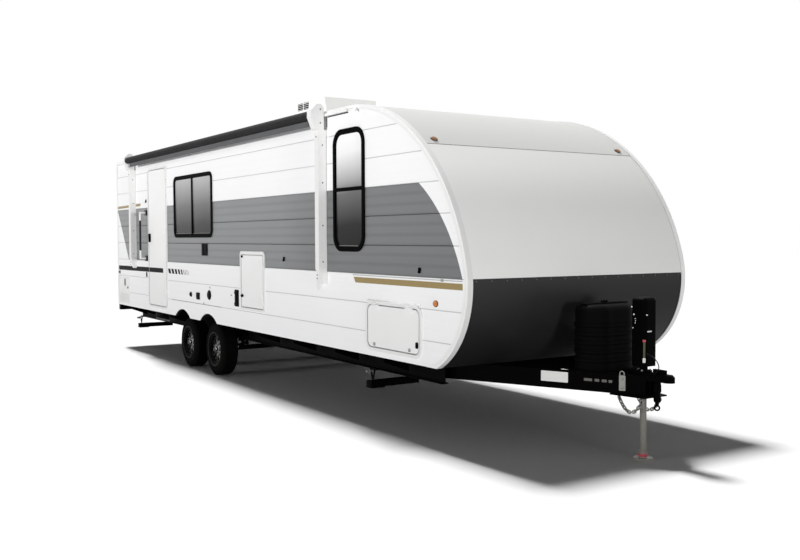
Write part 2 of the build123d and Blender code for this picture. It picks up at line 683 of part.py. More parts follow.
rear_solid = body_outline(0, -INNER_HALF, INNER_HALF)
rear_slice = block(-CUT_PAST, REAR_CORNER_RADIUS, -HALF_WIDTH, HALF_WIDTH, 0, ROOF_TOP + CUT_PAST)
rear_hollow = block(
    WALL, REAR_CORNER_RADIUS + CUT_PAST, -HALF_WIDTH, HALF_WIDTH, 0, ROOF_TOP - ROOF_THICKNESS)
rear_window_hole = Pos(0, 0, (REAR_WINDOW_BOTTOM + REAR_WINDOW_TOP) / 2) * extrude(
    Plane.YZ * RectangleRounded(
        REAR_WINDOW_WIDTH - 2 * WINDOW_LAP,
        REAR_WINDOW_TOP - REAR_WINDOW_BOTTOM - 2 * WINDOW_LAP,
        REAR_WINDOW_RADIUS - WINDOW_LAP,
    ),
    WALL + CUT_PAST,
    both=True,
)
nodes["rear_wall"] = (rear_solid & rear_slice) - rear_hollow - rear_window_hole

# --- Corner mouldings and gutters --------------------------------------------------------------
moulding_face = -HALF_WIDTH - MOULDING_PROUD
moulding_edge = -HALF_WIDTH + MOULDING_WIDTH
sill = BODY_BOTTOM + MOULDING_WIDTH
moulding_outer = body_outline(-MOULDING_PROUD, moulding_face, moulding_edge)
moulding_core = body_outline(0, -HALF_WIDTH, moulding_edge + CUT_PAST)
moulding_window = body_outline(MOULDING_WIDTH, moulding_face - CUT_PAST, -HALF_WIDTH + CUT_PAST)
moulding_ends = block(
    MOULDING_WIDTH, front_x(BODY_BOTTOM, MOULDING_WIDTH), moulding_face - CUT_PAST, 0, 0, sill)
below_body = block(
    -MOULDING_WIDTH, BODY_LENGTH, moulding_face - CUT_PAST, 0, 0, BODY_BOTTOM)
moulding = moulding_outer - moulding_core - moulding_window - moulding_ends - below_body
nodes["corner_mouldings"] = both_sides(moulding)

gutter_inner = moulding_face
gutter_outer = gutter_inner - GUTTER_DEPTH
gutter_high = ROOF_TOP - GUTTER_DROP
gutter_low = gutter_high - GUTTER_HEIGHT
gutter = block(
    REAR_CORNER_RADIUS, ROOF_LENGTH, gutter_outer, gutter_inner, gutter_low, gutter_high)
gutter_trough = block(
    REAR_CORNER_RADIUS - CUT_PAST, ROOF_LENGTH + CUT_PAST, gutter_outer + GUTTER_WALL,
    gutter_inner - GUTTER_WALL, gutter_low + GUTTER_WALL, gutter_high + CUT_PAST)
nodes["roof_gutters"] = both_sides(gutter - gutter_trough)


# --- Windows -----------------------------------------------------------------------------------
def window(rear, front, bottom, top, radius, bar, bar_height):
    """A flanged window frame with its pane, drawn for the right side."""
    outside = -HALF_WIDTH - WINDOW_PROUD
    flange = side_ring(rear, front, bottom, top, radius, WINDOW_FLANGE, outside, -HALF_WIDTH)
    edge = WINDOW_LAP + PART_GAP
    jamb = side_ring(
        rear + edge, front - edge, bottom + edge, top - edge, radius - edge, WINDOW_JAMB,
        -HALF_WIDTH, -INNER_HALF)
    frame = flange + jamb
    middle = (rear + front) / 2
    if bar == UPRIGHT_BAR:
        frame += block(
            middle - WINDOW_BAR / 2, middle + WINDOW_BAR / 2, outside, -HALF_WIDTH,
            bottom + WINDOW_FLANGE / 2, top - WINDOW_FLANGE / 2)
    if bar == LEVEL_BAR:
        frame += block(
            rear + WINDOW_FLANGE / 2, front - WINDOW_FLANGE / 2, outside, -HALF_WIDTH,
            bar_height - WINDOW_BAR / 2, bar_height + WINDOW_BAR / 2)
    rim = edge + WINDOW_JAMB + PART_GAP
    pane = side_panel(
        rear + rim, front - rim, bottom + rim, top - rim, radius - rim, -HALF_WIDTH,
        -HALF_WIDTH + GLASS)
    return frame, pane


window_frames = []
window_panes = []
for side, rear, length, bottom, drop, radius, bar in SIDE_WINDOWS:
    frame, pane = window(
        rear, rear + length, bottom, ROOF_TOP - drop, radius, bar, WINDOW_BAR_HEIGHT)
    window_frames.append(on_side(frame, side))
    window_panes.append(on_side(pane, side))
rear_frame, rear_pane = window(
    -REAR_WINDOW_WIDTH / 2, REAR_WINDOW_WIDTH / 2, REAR_WINDOW_BOTTOM, REAR_WINDOW_TOP,
    REAR_WINDOW_RADIUS, NO_BAR, 0)
to_rear_wall = Pos(HALF_WIDTH, 0, 0) * Rot(0, 0, -90)
window_frames.append(to_rear_wall * rear_frame)
window_panes.append(to_rear_wall * rear_pane)
nodes["window_frames"] = window_frames
nodes["window_panes"] = window_panes


# --- Door and hatches --------------------------------------------------------------------------
flange_face = -HALF_WIDTH - FRAME_PROUD
hinge_y = flange_face - HINGE_PROUD
slab_face = flange_face + SLAB_RECESS


def knuckle_run(low, high, share):
    """Where one hinge's frame knuckle and slab knuckle lie along the hinge."""
    middle = low + (high - low) * share
    lower = (middle - KNUCKLE_LENGTH, middle - KNUCKLE_GAP / 2)
    upper = (middle + KNUCKLE_GAP / 2, middle + KNUCKLE_LENGTH)
    return lower, upper


def opening(rear, front, bottom, top, radius, knuckles, hinge_on_top):
    """A framed opening and its slab, drawn for the right side."""
    frame = side_ring(rear, front, bottom, top, radius, FRAME_FLANGE, flange_face, -HALF_WIDTH)
    edge = FRAME_LAP + PART_GAP
    frame += side_ring(
        rear + edge, front - edge, bottom + edge, top - edge, radius - edge, FRAME_JAMB,
        -HALF_WIDTH, -INNER_HALF)
    stop = side_ring(
        rear + edge, front - edge, bottom + edge, top - edge, radius - edge,
        FRAME_JAMB + FRAME_STOP, -INNER_HALF - FRAME_STOP_THICKNESS, -INNER_HALF)
    frame += stop
    inset = FRAME_FLANGE + SLAB_GAP
    slab = side_panel(
        rear + inset, front - inset, bottom + inset, top - inset,
        max(radius - inset, MIN_CORNER), slab_face, slab_face + SLAB_THICKNESS)
    pin_gap = FRAME_FLANGE + SLAB_GAP / 2
    for share in knuckles:
        if hinge_on_top:
            pin_z = top - pin_gap
            lower, upper = knuckle_run(rear, front, share)
            fixed = rod((lower[0], hinge_y, pin_z), (lower[1], hinge_y, pin_z), KNUCKLE_DIAMETER)
            fixed += block(lower[0], lower[1], hinge_y, flange_face, pin_z, pin_z + LEAF_WIDTH)
            moving = rod((upper[0], hinge_y, pin_z), (upper[1], hinge_y, pin_z), KNUCKLE_DIAMETER)
            moving += block(upper[0], upper[1], hinge_y, slab_face, pin_z - LEAF_WIDTH, pin_z)
        else:
            pin_x = front - pin_gap
            lower, upper = knuckle_run(bottom, top, share)
            fixed = rod((pin_x, hinge_y, lower[0]), (pin_x, hinge_y, lower[1]), KNUCKLE_DIAMETER)
            fixed += block(pin_x, pin_x + LEAF_WIDTH, hinge_y, flange_face, lower[0], lower[1])
            moving = rod((pin_x, hinge_y, upper[0]), (pin_x, hinge_y, upper[1]), KNUCKLE_DIAMETER)
            moving += block(pin_x - LEAF_WIDTH, pin_x, hinge_y, slab_face, upper[0], upper[1])
        frame += fixed
        slab += moving
    return frame, slab


door_frame, door_slab = opening(
    DOOR_REAR, DOOR_FRONT, DOOR_BOTTOM, DOOR_TOP, DOOR_RADIUS, DOOR_KNUCKLES, False)
latch_x = DOOR_REAR + FRAME_FLANGE + SLAB_GAP + LATCH_INSET
door_slab += block(
    latch_x, latch_x + LATCH_WIDTH, slab_face - LATCH_PROUD, slab_face, LATCH_BOTTOM, LATCH_TOP)
nodes["entry_door_frame"] = door_frame
nodes["entry_door"] = door_slab

kitchen_frame, kitchen_slab = opening(
    KITCHEN_REAR, KITCHEN_FRONT, KITCHEN_BOTTOM, KITCHEN_TOP, KITCHEN_RADIUS, HATCH_KNUCKLES, False)
locker_frame, locker_slab = opening(
    LOCKER_REAR, LOCKER_FRONT, LOCKER_BOTTOM, LOCKER_TOP, LOCKER_RADIUS, HATCH_KNUCKLES, True)
nodes["hatch_frames"] = [kitchen_frame, *both_sides(locker_frame)]
nodes["kitchen_hatch"] = kitchen_slab
locker_pair = both_sides(locker_slab)
nodes["locker_hatch_right"] = locker_pair[0]
nodes["locker_hatch_left"] = locker_pair[1]

# --- Grab handle beside the door ---------------------------------------------------------------
handle_y = -HALF_WIDTH - HANDLE_REACH
handle = rod((HANDLE_X, handle_y, HANDLE_BOTTOM), (HANDLE_X, handle_y, HANDLE_TOP), HANDLE_DIAMETER)
for height in (HANDLE_BOTTOM, HANDLE_TOP):
    handle += rod((HANDLE_X, handle_y, height), (HANDLE_X, -HALF_WIDTH, height), HANDLE_DIAMETER)
    handle += Pos(HANDLE_X, handle_y, height) * Sphere(HANDLE_DIAMETER / 2)
    handle += block(
        HANDLE_X - HANDLE_BASE / 2, HANDLE_X + HANDLE_BASE / 2,
        -HALF_WIDTH - HANDLE_BASE_THICKNESS, -HALF_WIDTH, height - HANDLE_BASE / 2,
        height + HANDLE_BASE / 2)
nodes["grab_handle"] = handle

# --- Awning ------------------------------------------------------------------------------------
arm_face = -HALF_WIDTH - AWNING_ARM_DEPTH
head_inner = gutter_outer - AWNING_HEAD_GAP
head_outer = head_inner - AWNING_HEAD_DEPTH
head_top = AWNING_ARM_TOP + AWNING_HEAD_HEIGHT
head_outline = [
    (head_inner, AWNING_ARM_TOP),
    (head_inner, head_top - AWNING_HEAD_CHAMFER / 2),
    (head_inner - AWNING_HEAD_CHAMFER / 2, head_top),
    (head_outer + AWNING_HEAD_CHAMFER, head_top),
    (head_outer, head_top - AWNING_HEAD_CHAMFER),
    (head_outer, head_top - AWNING_HEAD_CHAMFER - AWNING_HEAD_CHEEK),
    (head_inner - AWNING_HEAD_TOE, AWNING_ARM_TOP),
]
arms = []
for arm_x in (AWNING_ARM_REAR, AWNING_ARM_FRONT):
    half = AWNING_ARM_WIDTH / 2
    outline = [
        (-HALF_WIDTH, AWNING_ARM_BOTTOM),
        (-HALF_WIDTH - AWNING_ARM_TOE, AWNING_ARM_BOTTOM),
        (arm_face, AWNING_ARM_BOTTOM + AWNING_ARM_TAPER),
        (arm_face, AWNING_ARM_TOP),
        (-HALF_WIDTH, AWNING_ARM_TOP),
    ]
    arm = cross_outline(outline, arm_x - half, arm_x + half)
    head = cross_outline(head_outline, arm_x - AWNING_HEAD_WIDTH / 2, arm_x + AWNING_HEAD_WIDTH / 2)
    arms.append(arm + head)
nodes["awning_arms"] = arms
roller_start = (AWNING_ARM_REAR + AWNING_HEAD_WIDTH / 2, -AWNING_ROLLER_Y, AWNING_ROLLER_HEIGHT)
roller_end = (AWNING_ARM_FRONT - AWNING_HEAD_WIDTH / 2, -AWNING_ROLLER_Y, AWNING_ROLLER_HEIGHT)
nodes["awning_roller"] = rod(roller_start, roller_end, AWNING_ROLLER_DIAMETER)
valance_top = AWNING_ROLLER_HEIGHT - AWNING_ROLLER_DIAMETER / 2
nodes["awning_valance"] = block(
    AWNING_ARM_REAR + AWNING_VALANCE_REAR_GAP, AWNING_ARM_FRONT - AWNING_VALANCE_FRONT_GAP,
    -AWNING_ROLLER_Y - AWNING_VALANCE_THICKNESS / 2,
    -AWNING_ROLLER_Y + AWNING_VALANCE_THICKNESS / 2, valance_top - AWNING_VALANCE_DROP, valance_top)

# --- Roof equipment ----------------------------------------------------------------------------
cooler_rear = COOLER_X - COOLER_LENGTH / 2
cooler_front = COOLER_X + COOLER_LENGTH / 2
cooler_end = cooler_front + COOLER_FRONT_LENGTH
cooler_top = ROOF_TOP + COOLER_HEIGHT
cooler_outline = [
    (cooler_rear, ROOF_TOP),
    (cooler_rear + COOLER_REAR_RAKE, cooler_top - COOLER_SHOULDER_DROP),
    (cooler_rear + COOLER_REAR_RAKE + COOLER_SHOULDER_LENGTH, cooler_top),
    (cooler_front, cooler_top),
    (cooler_end, ROOF_TOP + COOLER_NOSE_HEIGHT),
    (cooler_end, ROOF_TOP),
]
cooler_plan = Plane(origin=((cooler_rear + cooler_end) / 2, 0, ROOF_TOP))
cooler_column = extrude(
    cooler_plan * RectangleRounded(cooler_end - cooler_rear, COOLER_WIDTH, COOLER_CORNER),
    COOLER_HEIGHT)
cooler_block = side_outline(cooler_outline, -COOLER_WIDTH / 2, COOLER_WIDTH / 2)
nodes["air_conditioner"] = cooler_block & cooler_column
vents = []
for vent_x, vent_y, size, height in VENTS:
    vents.append(block(
        vent_x - size / 2, vent_x + size / 2, vent_y - size / 2, vent_y + size / 2, ROOF_TOP,
        ROOF_TOP + height))
nodes["roof_vents"] = vents

# --- Chassis -----------------------------------------------------------------------------------
rail_top_flange = BODY_BOTTOM - RAIL_FLANGE_THICKNESS
rail = block(
    RAIL_REAR, RAIL_FRONT, -RAIL_Y - RAIL_WEB / 2, -RAIL_Y + RAIL_WEB / 2, RAIL_BOTTOM,
    BODY_BOTTOM)
for low in (RAIL_BOTTOM, rail_top_flange):
    rail += block(
        RAIL_REAR, RAIL_FRONT, -RAIL_Y - RAIL_FLANGE / 2, -RAIL_Y + RAIL_FLANGE / 2, low,
        low + RAIL_FLANGE_THICKNESS)
nodes["main_rails"] = both_sides(rail)

cross_half = RAIL_Y - RAIL_FLANGE / 2
rail_outer = RAIL_Y + RAIL_FLANGE / 2
slope = tan(A_FRAME_HALF_ANGLE)
a_frame_rear = A_FRAME_APEX - (RAIL_Y - RAIL_WEB / 2) / slope
last_cross_piece = min(RAIL_FRONT, a_frame_rear) - CROSS_MEMBER_WIDTH
cross_members = []
for member_x in stations(RAIL_REAR + CROSS_MEMBER_START, CROSS_MEMBER_PITCH, last_cross_piece):
    cross_members.append(block(
        member_x - CROSS_MEMBER_WIDTH / 2, member_x + CROSS_MEMBER_WIDTH / 2, -cross_half,
        cross_half, BODY_BOTTOM - CROSS_MEMBER_DEPTH, BODY_BOTTOM))
member_width = A_FRAME_WIDTH / cos(A_FRAME_HALF_ANGLE)
header_front = RAIL_FRONT + CROSS_MEMBER_WIDTH
header_half = (A_FRAME_APEX - header_front) * slope - member_width
cross_members.append(block(
    RAIL_FRONT, header_front, -header_half, header_half, A_FRAME_BOTTOM, BODY_BOTTOM))
nodes["cross_members"] = cross_members

outriggers = []
behind_wheels = [well_rear - distance for distance in OUTRIGGERS_BEHIND]
before_wheels = stations(
    well_front + OUTRIGGER_START, OUTRIGGER_PITCH, RAIL_FRONT - FRAME_END_GAP)
for outrigger_x in behind_wheels + before_wheels:
    outline = [
        (-rail_outer, BODY_BOTTOM),
        (-rail_outer, BODY_BOTTOM - OUTRIGGER_ROOT),
        (-INNER_HALF, BODY_BOTTOM - OUTRIGGER_TIP),
        (-INNER_HALF, BODY_BOTTOM),
    ]
    outrigger = cross_outline(
        outline, outrigger_x - OUTRIGGER_THICKNESS / 2, outrigger_x + OUTRIGGER_THICKNESS / 2)
    outriggers.extend(both_sides(outrigger))
nodes["outriggers"] = outriggers

a_frame_front = A_FRAME_APEX - A_FRAME_TIP_CUT / slope


def a_frame_bar(inset):
    """The slanted bar of the A-frame's right member, its sides moved in by the inset."""
    rear_y = -(A_FRAME_APEX - a_frame_rear) * slope
    low = A_FRAME_BOTTOM + inset
    corners = [
        (a_frame_rear, rear_y + inset, low),
        (a_frame_front, -A_FRAME_TIP_CUT + inset, low),
        (a_frame_front, -A_FRAME_TIP_CUT + member_width - inset, low),
        (a_frame_rear, rear_y + member_width - inset, low),
    ]
    face = make_face(Polyline(*corners, close=True))
    return extrude(face, A_FRAME_DEPTH - 2 * inset, dir=(0, 0, 1))


nodes["a_frame"] = both_sides(a_frame_bar(0) - a_frame_bar(A_FRAME_WALL))

bumper_front = BUMPER_REAR + BUMPER_SIZE
bumper_low = BODY_BOTTOM - BUMPER_SIZE
bumper_high = BODY_BOTTOM - BUMPER_GAP
bumper = block(
    BUMPER_REAR, bumper_front, -BUMPER_HALF_WIDTH, BUMPER_HALF_WIDTH, bumper_low, bumper_high)
bumper -= block(
    BUMPER_REAR + BUMPER_WALL, bumper_front - BUMPER_WALL, -BUMPER_HALF_WIDTH - CUT_PAST,
    BUMPER_HALF_WIDTH + CUT_PAST, bumper_low + BUMPER_WALL, bumper_high - BUMPER_WALL)
bumper_stem = block(
    bumper_front, RAIL_REAR, -RAIL_Y - BUMPER_STEM / 2, -RAIL_Y + BUMPER_STEM / 2, bumper_low,
    bumper_high)
for stem in both_sides(bumper_stem):
    bumper += stem
nodes["rear_bumper"] = bumper

# --- Coupler -----------------------------------------------------------------------------------
ball_top = BALL_HEIGHT + BALL_BORE_RADIUS
coupler_bottom = BALL_HEIGHT - COUPLER_BELOW_BALL
coupler_top = ball_top + COUPLER_WALL
head = extrude(
    Plane(origin=(BALL_X, 0, coupler_bottom)) * Circle(COUPLER_HEAD_RADIUS),
    coupler_top - coupler_bottom)
head = chamfer(head.edges().group_by(Axis.Z)[-1], COUPLER_HEAD_CHAMFER)
neck_points = [
    (COUPLER_REAR, -COUPLER_ROOT_WIDTH / 2, coupler_bottom),
    (BALL_X, -COUPLER_HEAD_RADIUS, coupler_bottom),
    (BALL_X, COUPLER_HEAD_RADIUS, coupler_bottom),
    (COUPLER_REAR, COUPLER_ROOT_WIDTH / 2, coupler_bottom),
]
neck_height = A_FRAME_TOP + COUPLER_COVER - coupler_bottom
neck = extrude(make_face(Polyline(*neck_points, close=True)), neck_height, dir=(0, 0, 1))
neck += block(
    COUPLER_REAR, BALL_X, -COUPLER_HEAD_RADIUS, COUPLER_HEAD_RADIUS, coupler_bottom, coupler_top)
bore = extrude(
    Plane(origin=(BALL_X, 0, coupler_bottom - CUT_PAST)) * Circle(BALL_BORE_RADIUS),
    ball_top - coupler_bottom + CUT_PAST)
latch_front = BALL_X - COUPLER_LATCH_SETBACK
latch = block(
    latch_front - COUPLER_LATCH_LENGTH, latch_front, -COUPLER_LATCH_WIDTH / 2,
    COUPLER_LATCH_WIDTH / 2, coupler_top, coupler_top + COUPLER_LATCH_HEIGHT)
coupler = head + neck - bore + latch
for member in both_sides(a_frame_bar(0)):
    coupler -= member
head_bottom = coupler_top + JACK_HEAD_LIFT
jack_hole = rod((JACK_X, 0, 0), (JACK_X, 0, head_bottom), JACK_TUBE_DIAMETER + 2 * PART_GAP)
nodes["coupler"] = coupler - jack_hole
gusset_points = [
    (GUSSET_REAR, -GUSSET_REAR_HALF),
    (GUSSET_FRONT, -GUSSET_FRONT_HALF),
    (GUSSET_FRONT, GUSSET_FRONT_HALF),
    (GUSSET_REAR, GUSSET_REAR_HALF),
]
gusset_bottom = A_FRAME_BOTTOM - GUSSET_THICKNESS
gusset_corners = [(x, y, gusset_bottom) for x, y in gusset_points]
gusset = extrude(make_face(Polyline(*gusset_corners, close=True)), GUSSET_THICKNESS, dir=(0, 0, 1))
gusset -= jack_hole
for lug_x in (CHAIN_REAR, CHAIN_FRONT):
    lug = rod(
        (lug_x, -CHAIN_Y, gusset_bottom),
        (lug_x, -CHAIN_Y, gusset_bottom - CHAIN_LUG_REACH - CHAIN_LINK_WIDTH / 2),
        CHAIN_LUG_DIAMETER)
    for hanging in both_sides(lug):
        gusset += hanging
nodes["a_frame_gusset"] = gusset

# --- Tongue jack -------------------------------------------------------------------------------
tube_bottom = A_FRAME_BOTTOM - JACK_TUBE_DROP
tube = rod((JACK_X, 0, tube_bottom), (JACK_X, 0, head_bottom), JACK_TUBE_DIAMETER)
tube += rod(
    (JACK_X, 0, coupler_top), (JACK_X, 0, coupler_top + JACK_FLANGE_THICKNESS), JACK_FLANGE)
tube -= rod(
    (JACK_X, 0, tube_bottom - CUT_PAST), (JACK_X, 0, head_bottom + CUT_PAST), JACK_BORE)
nodes["jack_tube"] = tube
head_block = extrude(
    Plane(origin=(JACK_X, 0, head_bottom))
    * RectangleRounded(JACK_HEAD_SIZE, JACK_HEAD_SIZE, JACK_HEAD_RADIUS),
    JACK_HEAD_HEIGHT)
head_block = fillet(head_block.faces().sort_by(Axis.Z)[-1].edges(), JACK_HEAD_CROWN)
head_block -= rod(
    (JACK_X, 0, head_bottom - CUT_PAST), (JACK_X, 0, JACK_RAM_TOP + JACK_LIFT + JACK_RAM_GAP),
    JACK_BORE)
nodes["jack_head"] = head_block
ram = rod((JACK_X, 0, JACK_FOOT_THICKNESS), (JACK_X, 0, JACK_RAM_TOP), JACK_RAM_DIAMETER)
ram += rod((JACK_X, 0, 0), (JACK_X, 0, JACK_FOOT_THICKNESS), JACK_FOOT_DIAMETER)
ram += rod(
    (JACK_X, 0, JACK_FOOT_THICKNESS),
    (JACK_X, 0, JACK_FOOT_THICKNESS + JACK_FOOT_SOCKET_HEIGHT), JACK_FOOT_SOCKET)
nodes["jack_ram"] = ram


# --- Gas bottle cover --------------------------------------------------------------------------
def cover_column(length_x, length_y, low, high):
    """An upright column with half-round ends."""
    place = Plane(origin=(COVER_X, 0, low))
    return extrude(place * SlotOverall(length_y, length_x, rotation=90), high - low)


cover = cover_column(
    COVER_DEPTH - 2 * COVER_RIB, COVER_WIDTH - 2 * COVER_RIB, COVER_BOTTOM, COVER_TOP)
cover = fillet(cover.faces().sort_by(Axis.Z)[-1].edges(), COVER_CROWN)
for step in range(COVER_HOOPS):
    hoop_low = COVER_BOTTOM + COVER_FIRST_HOOP + step * COVER_HOOP_PITCH
    hoop = cover_column(COVER_DEPTH, COVER_WIDTH, hoop_low, hoop_low + COVER_HOOP_HEIGHT)
    cover += chamfer(hoop.faces().sort_by(Axis.Z)[0].edges(), COVER_RIB)
strap_half = COVER_WIDTH / 2 - COVER_STRAP_END_GAP
cover += block(
    COVER_X - COVER_STRAP_WIDTH / 2, COVER_X + COVER_STRAP_WIDTH / 2, -strap_half, strap_half,
    COVER_TOP - COVER_STRAP_SEAT, COVER_TOP + COVER_STRAP_THICKNESS)
nodes["gas_bottle_cover"] = cover
tray_half_x = COVER_DEPTH / 2 + TRAY_LIP_X
tray_half_y = COVER_WIDTH / 2 + TRAY_LIP_Y
nodes["gas_bottle_tray"] = block(
    COVER_X - tray_half_x, COVER_X + tray_half_x, -tray_half_y, tray_half_y, A_FRAME_TOP,
    COVER_BOTTOM)


# --- Running gear ------------------------------------------------------------------------------
def turned(profile, axle_x, y_middle):
    """A body of revolution about a wheel's axle from (radius, reach outboard) points."""
    corners = [(radius, 0, reach) for radius, reach in profile]
    face = make_face(Polyline(*corners, close=True))
    body = revolve(face, Axis.Z, 360)
    return Pos(axle_x, -y_middle, TYRE_RADIUS) * Rot(90, 0, 0) * body


half_tyre = TYRE_WIDTH / 2
bead_face = half_tyre - TYRE_BEAD_INSET
sidewall_low = RIM_RADIUS + TYRE_SIDEWALL_LOW
sidewall_high = TYRE_RADIUS - TYRE_SHOULDER
tyre_half_profile = [
    (TYRE_RADIUS, half_tyre - TYRE_TREAD_INSET),
    (TYRE_RADIUS - TYRE_EDGE_DROP, half_tyre - TYRE_EDGE_INSET),
    (sidewall_high, half_tyre),
    (sidewall_low, half_tyre),
    (RIM_RADIUS, bead_face),
]
tyre_profile = tyre_half_profile + [(radius, -reach) for radius, reach in tyre_half_profile[::-1]]
spindle_bore = SPINDLE_DIAMETER / 2 + SPINDLE_CLEARANCE
disc_low = RIM_DISC_OFFSET - RIM_DISC
hub_low = disc_low - HUB_LENGTH
cap_edge = RIM_DISC_OFFSET + HUB_CAP_LENGTH
rim_profile = [
    (spindle_bore, hub_low),
    (HUB_RADIUS, hub_low),
    (HUB_RADIUS, disc_low),
    (RIM_RADIUS - RIM_WALL, disc_low - RIM_DISC_DISH),
    (RIM_RADIUS - RIM_WALL, -bead_face),
    (RIM_RADIUS, -bead_face),
    (RIM_RADIUS, bead_face),
    (RIM_RADIUS - RIM_WALL, bead_face),
    (RIM_RADIUS - RIM_WALL, RIM_DISC_OFFSET - RIM_DISC_DISH),
    (HUB_RADIUS, RIM_DISC_OFFSET),
    (HUB_CAP_RADIUS, RIM_DISC_OFFSET),
    (HUB_CAP_RADIUS, cap_edge),
    (HUB_CAP_RADIUS - HUB_CAP_EDGE, cap_edge + HUB_CAP_EDGE),
    (0, cap_edge + HUB_CAP_EDGE),
    (0, SPINDLE_REACH + SPINDLE_END_GAP),
    (spindle_bore, SPINDLE_REACH + SPINDLE_END_GAP),
]


def rim(axle_x):
    """A pressed steel wheel with its hub and grease cap."""
    wheel = turned(rim_profile, axle_x, WHEEL_Y)
    for number in range(RIM_WINDOWS):
        angle = 2 * pi * number / RIM_WINDOWS
        hole_x = axle_x + RIM_WINDOW_CIRCLE * cos(angle)
        hole_z = TYRE_RADIUS + RIM_WINDOW_CIRCLE * sin(angle)
        wheel -= rod(
            (hole_x, -WHEEL_Y - half_tyre, hole_z), (hole_x, -WHEEL_Y, hole_z),
            RIM_WINDOW_DIAMETER)
    return wheel


WHEELS = (                    # name, axle number, side
    ("rear_right", 0, RIGHT),
    ("rear_left", 0, LEFT),
    ("front_right", 1, RIGHT),
    ("front_left", 1, LEFT),
)
for name, axle, side in WHEELS:
    nodes["tyre_" + name] = on_side(turned(tyre_profile, AXLES_X[axle], WHEEL_Y), side)
    nodes["rim_" + name] = on_side(rim(AXLES_X[axle]), side)

axles = []
spindle_tip = WHEEL_Y + SPINDLE_REACH
beam_half = WHEEL_Y + hub_low - BACKING_GAP
for axle_x in AXLES_X:
    axle = rod((axle_x, -beam_half, TYRE_RADIUS), (axle_x, beam_half, TYRE_RADIUS), AXLE_DIAMETER)
    axle += rod(
        (axle_x, -spindle_tip, TYRE_RADIUS), (axle_x, spindle_tip, TYRE_RADIUS), SPINDLE_DIAMETER)
    plate = rod(
        (axle_x, -beam_half, TYRE_RADIUS), (axle_x, -beam_half + BACKING_THICKNESS, TYRE_RADIUS),
        2 * BACKING_RADIUS)
    for backing in both_sides(plate):
        axle += backing
    axles.append(axle)
nodes["axles"] = axles

springs = []
axle_top = TYRE_RADIUS + AXLE_DIAMETER / 2
eye_height = RAIL_BOTTOM - SPRING_EYE_DROP
for axle_x in AXLES_X:
    low_arc = ThreePointArc(
        (axle_x - SPRING_HALF, 0, eye_height), (axle_x, 0, axle_top),
        (axle_x + SPRING_HALF, 0, eye_height))
    high_arc = ThreePointArc(
        (axle_x - SPRING_HALF, 0, eye_height + SPRING_THICKNESS / 2),
        (axle_x, 0, axle_top + SPRING_THICKNESS),
        (axle_x + SPRING_HALF, 0, eye_height + SPRING_THICKNESS / 2))
    ends = [Line(low_arc @ 0, high_arc @ 0), Line(low_arc @ 1, high_arc @ 1)]
    leaf = extrude(make_face([low_arc, high_arc, *ends]), SPRING_WIDTH, dir=(0, 1, 0))
    springs.extend(both_sides(Pos(0, -RAIL_Y - SPRING_WIDTH / 2, 0) * leaf))
nodes["leaf_springs"] = springs

hangers = []
equaliser_x = sum(AXLES_X) / 2
spring_end_gap = AXLE_SPREAD / 2 - SPRING_HALF
middle_reach = spring_end_gap + HANGER_LAP
HANGERS = (                   # x, half length
    (AXLES_X[0] - SPRING_HALF, HANGER_LENGTH / 2),
    (equaliser_x, middle_reach),
    (AXLES_X[1] + SPRING_HALF, HANGER_LENGTH / 2),
)
hanger_bottom = RAIL_BOTTOM - HANGER_DROP
cheek_inner = SPRING_WIDTH / 2 + HANGER_SIDE_GAP
cheek_outer = cheek_inner + HANGER_CHEEK
equaliser_half = spring_end_gap - EQUALISER_GAP
for hanger_x, reach in HANGERS:
    hanger = block(
        hanger_x - reach, hanger_x + reach, -RAIL_Y - cheek_outer, -RAIL_Y + cheek_outer,
        hanger_bottom, RAIL_BOTTOM)
    hanger -= block(
        hanger_x - reach - CUT_PAST, hanger_x + reach + CUT_PAST, -RAIL_Y - cheek_inner,
        -RAIL_Y + cheek_inner, hanger_bottom - CUT_PAST, RAIL_BOTTOM - HANGER_CROWN)
    if hanger_x == equaliser_x:
        hanger += block(
            equaliser_x - equaliser_half, equaliser_x + equaliser_half,
            -RAIL_Y - cheek_inner, -RAIL_Y + cheek_inner, eye_height - EQUALISER_DEPTH / 2,
            eye_height + EQUALISER_DEPTH / 2)
    hangers.extend(both_sides(hanger))
nodes["spring_hangers"] = hangers

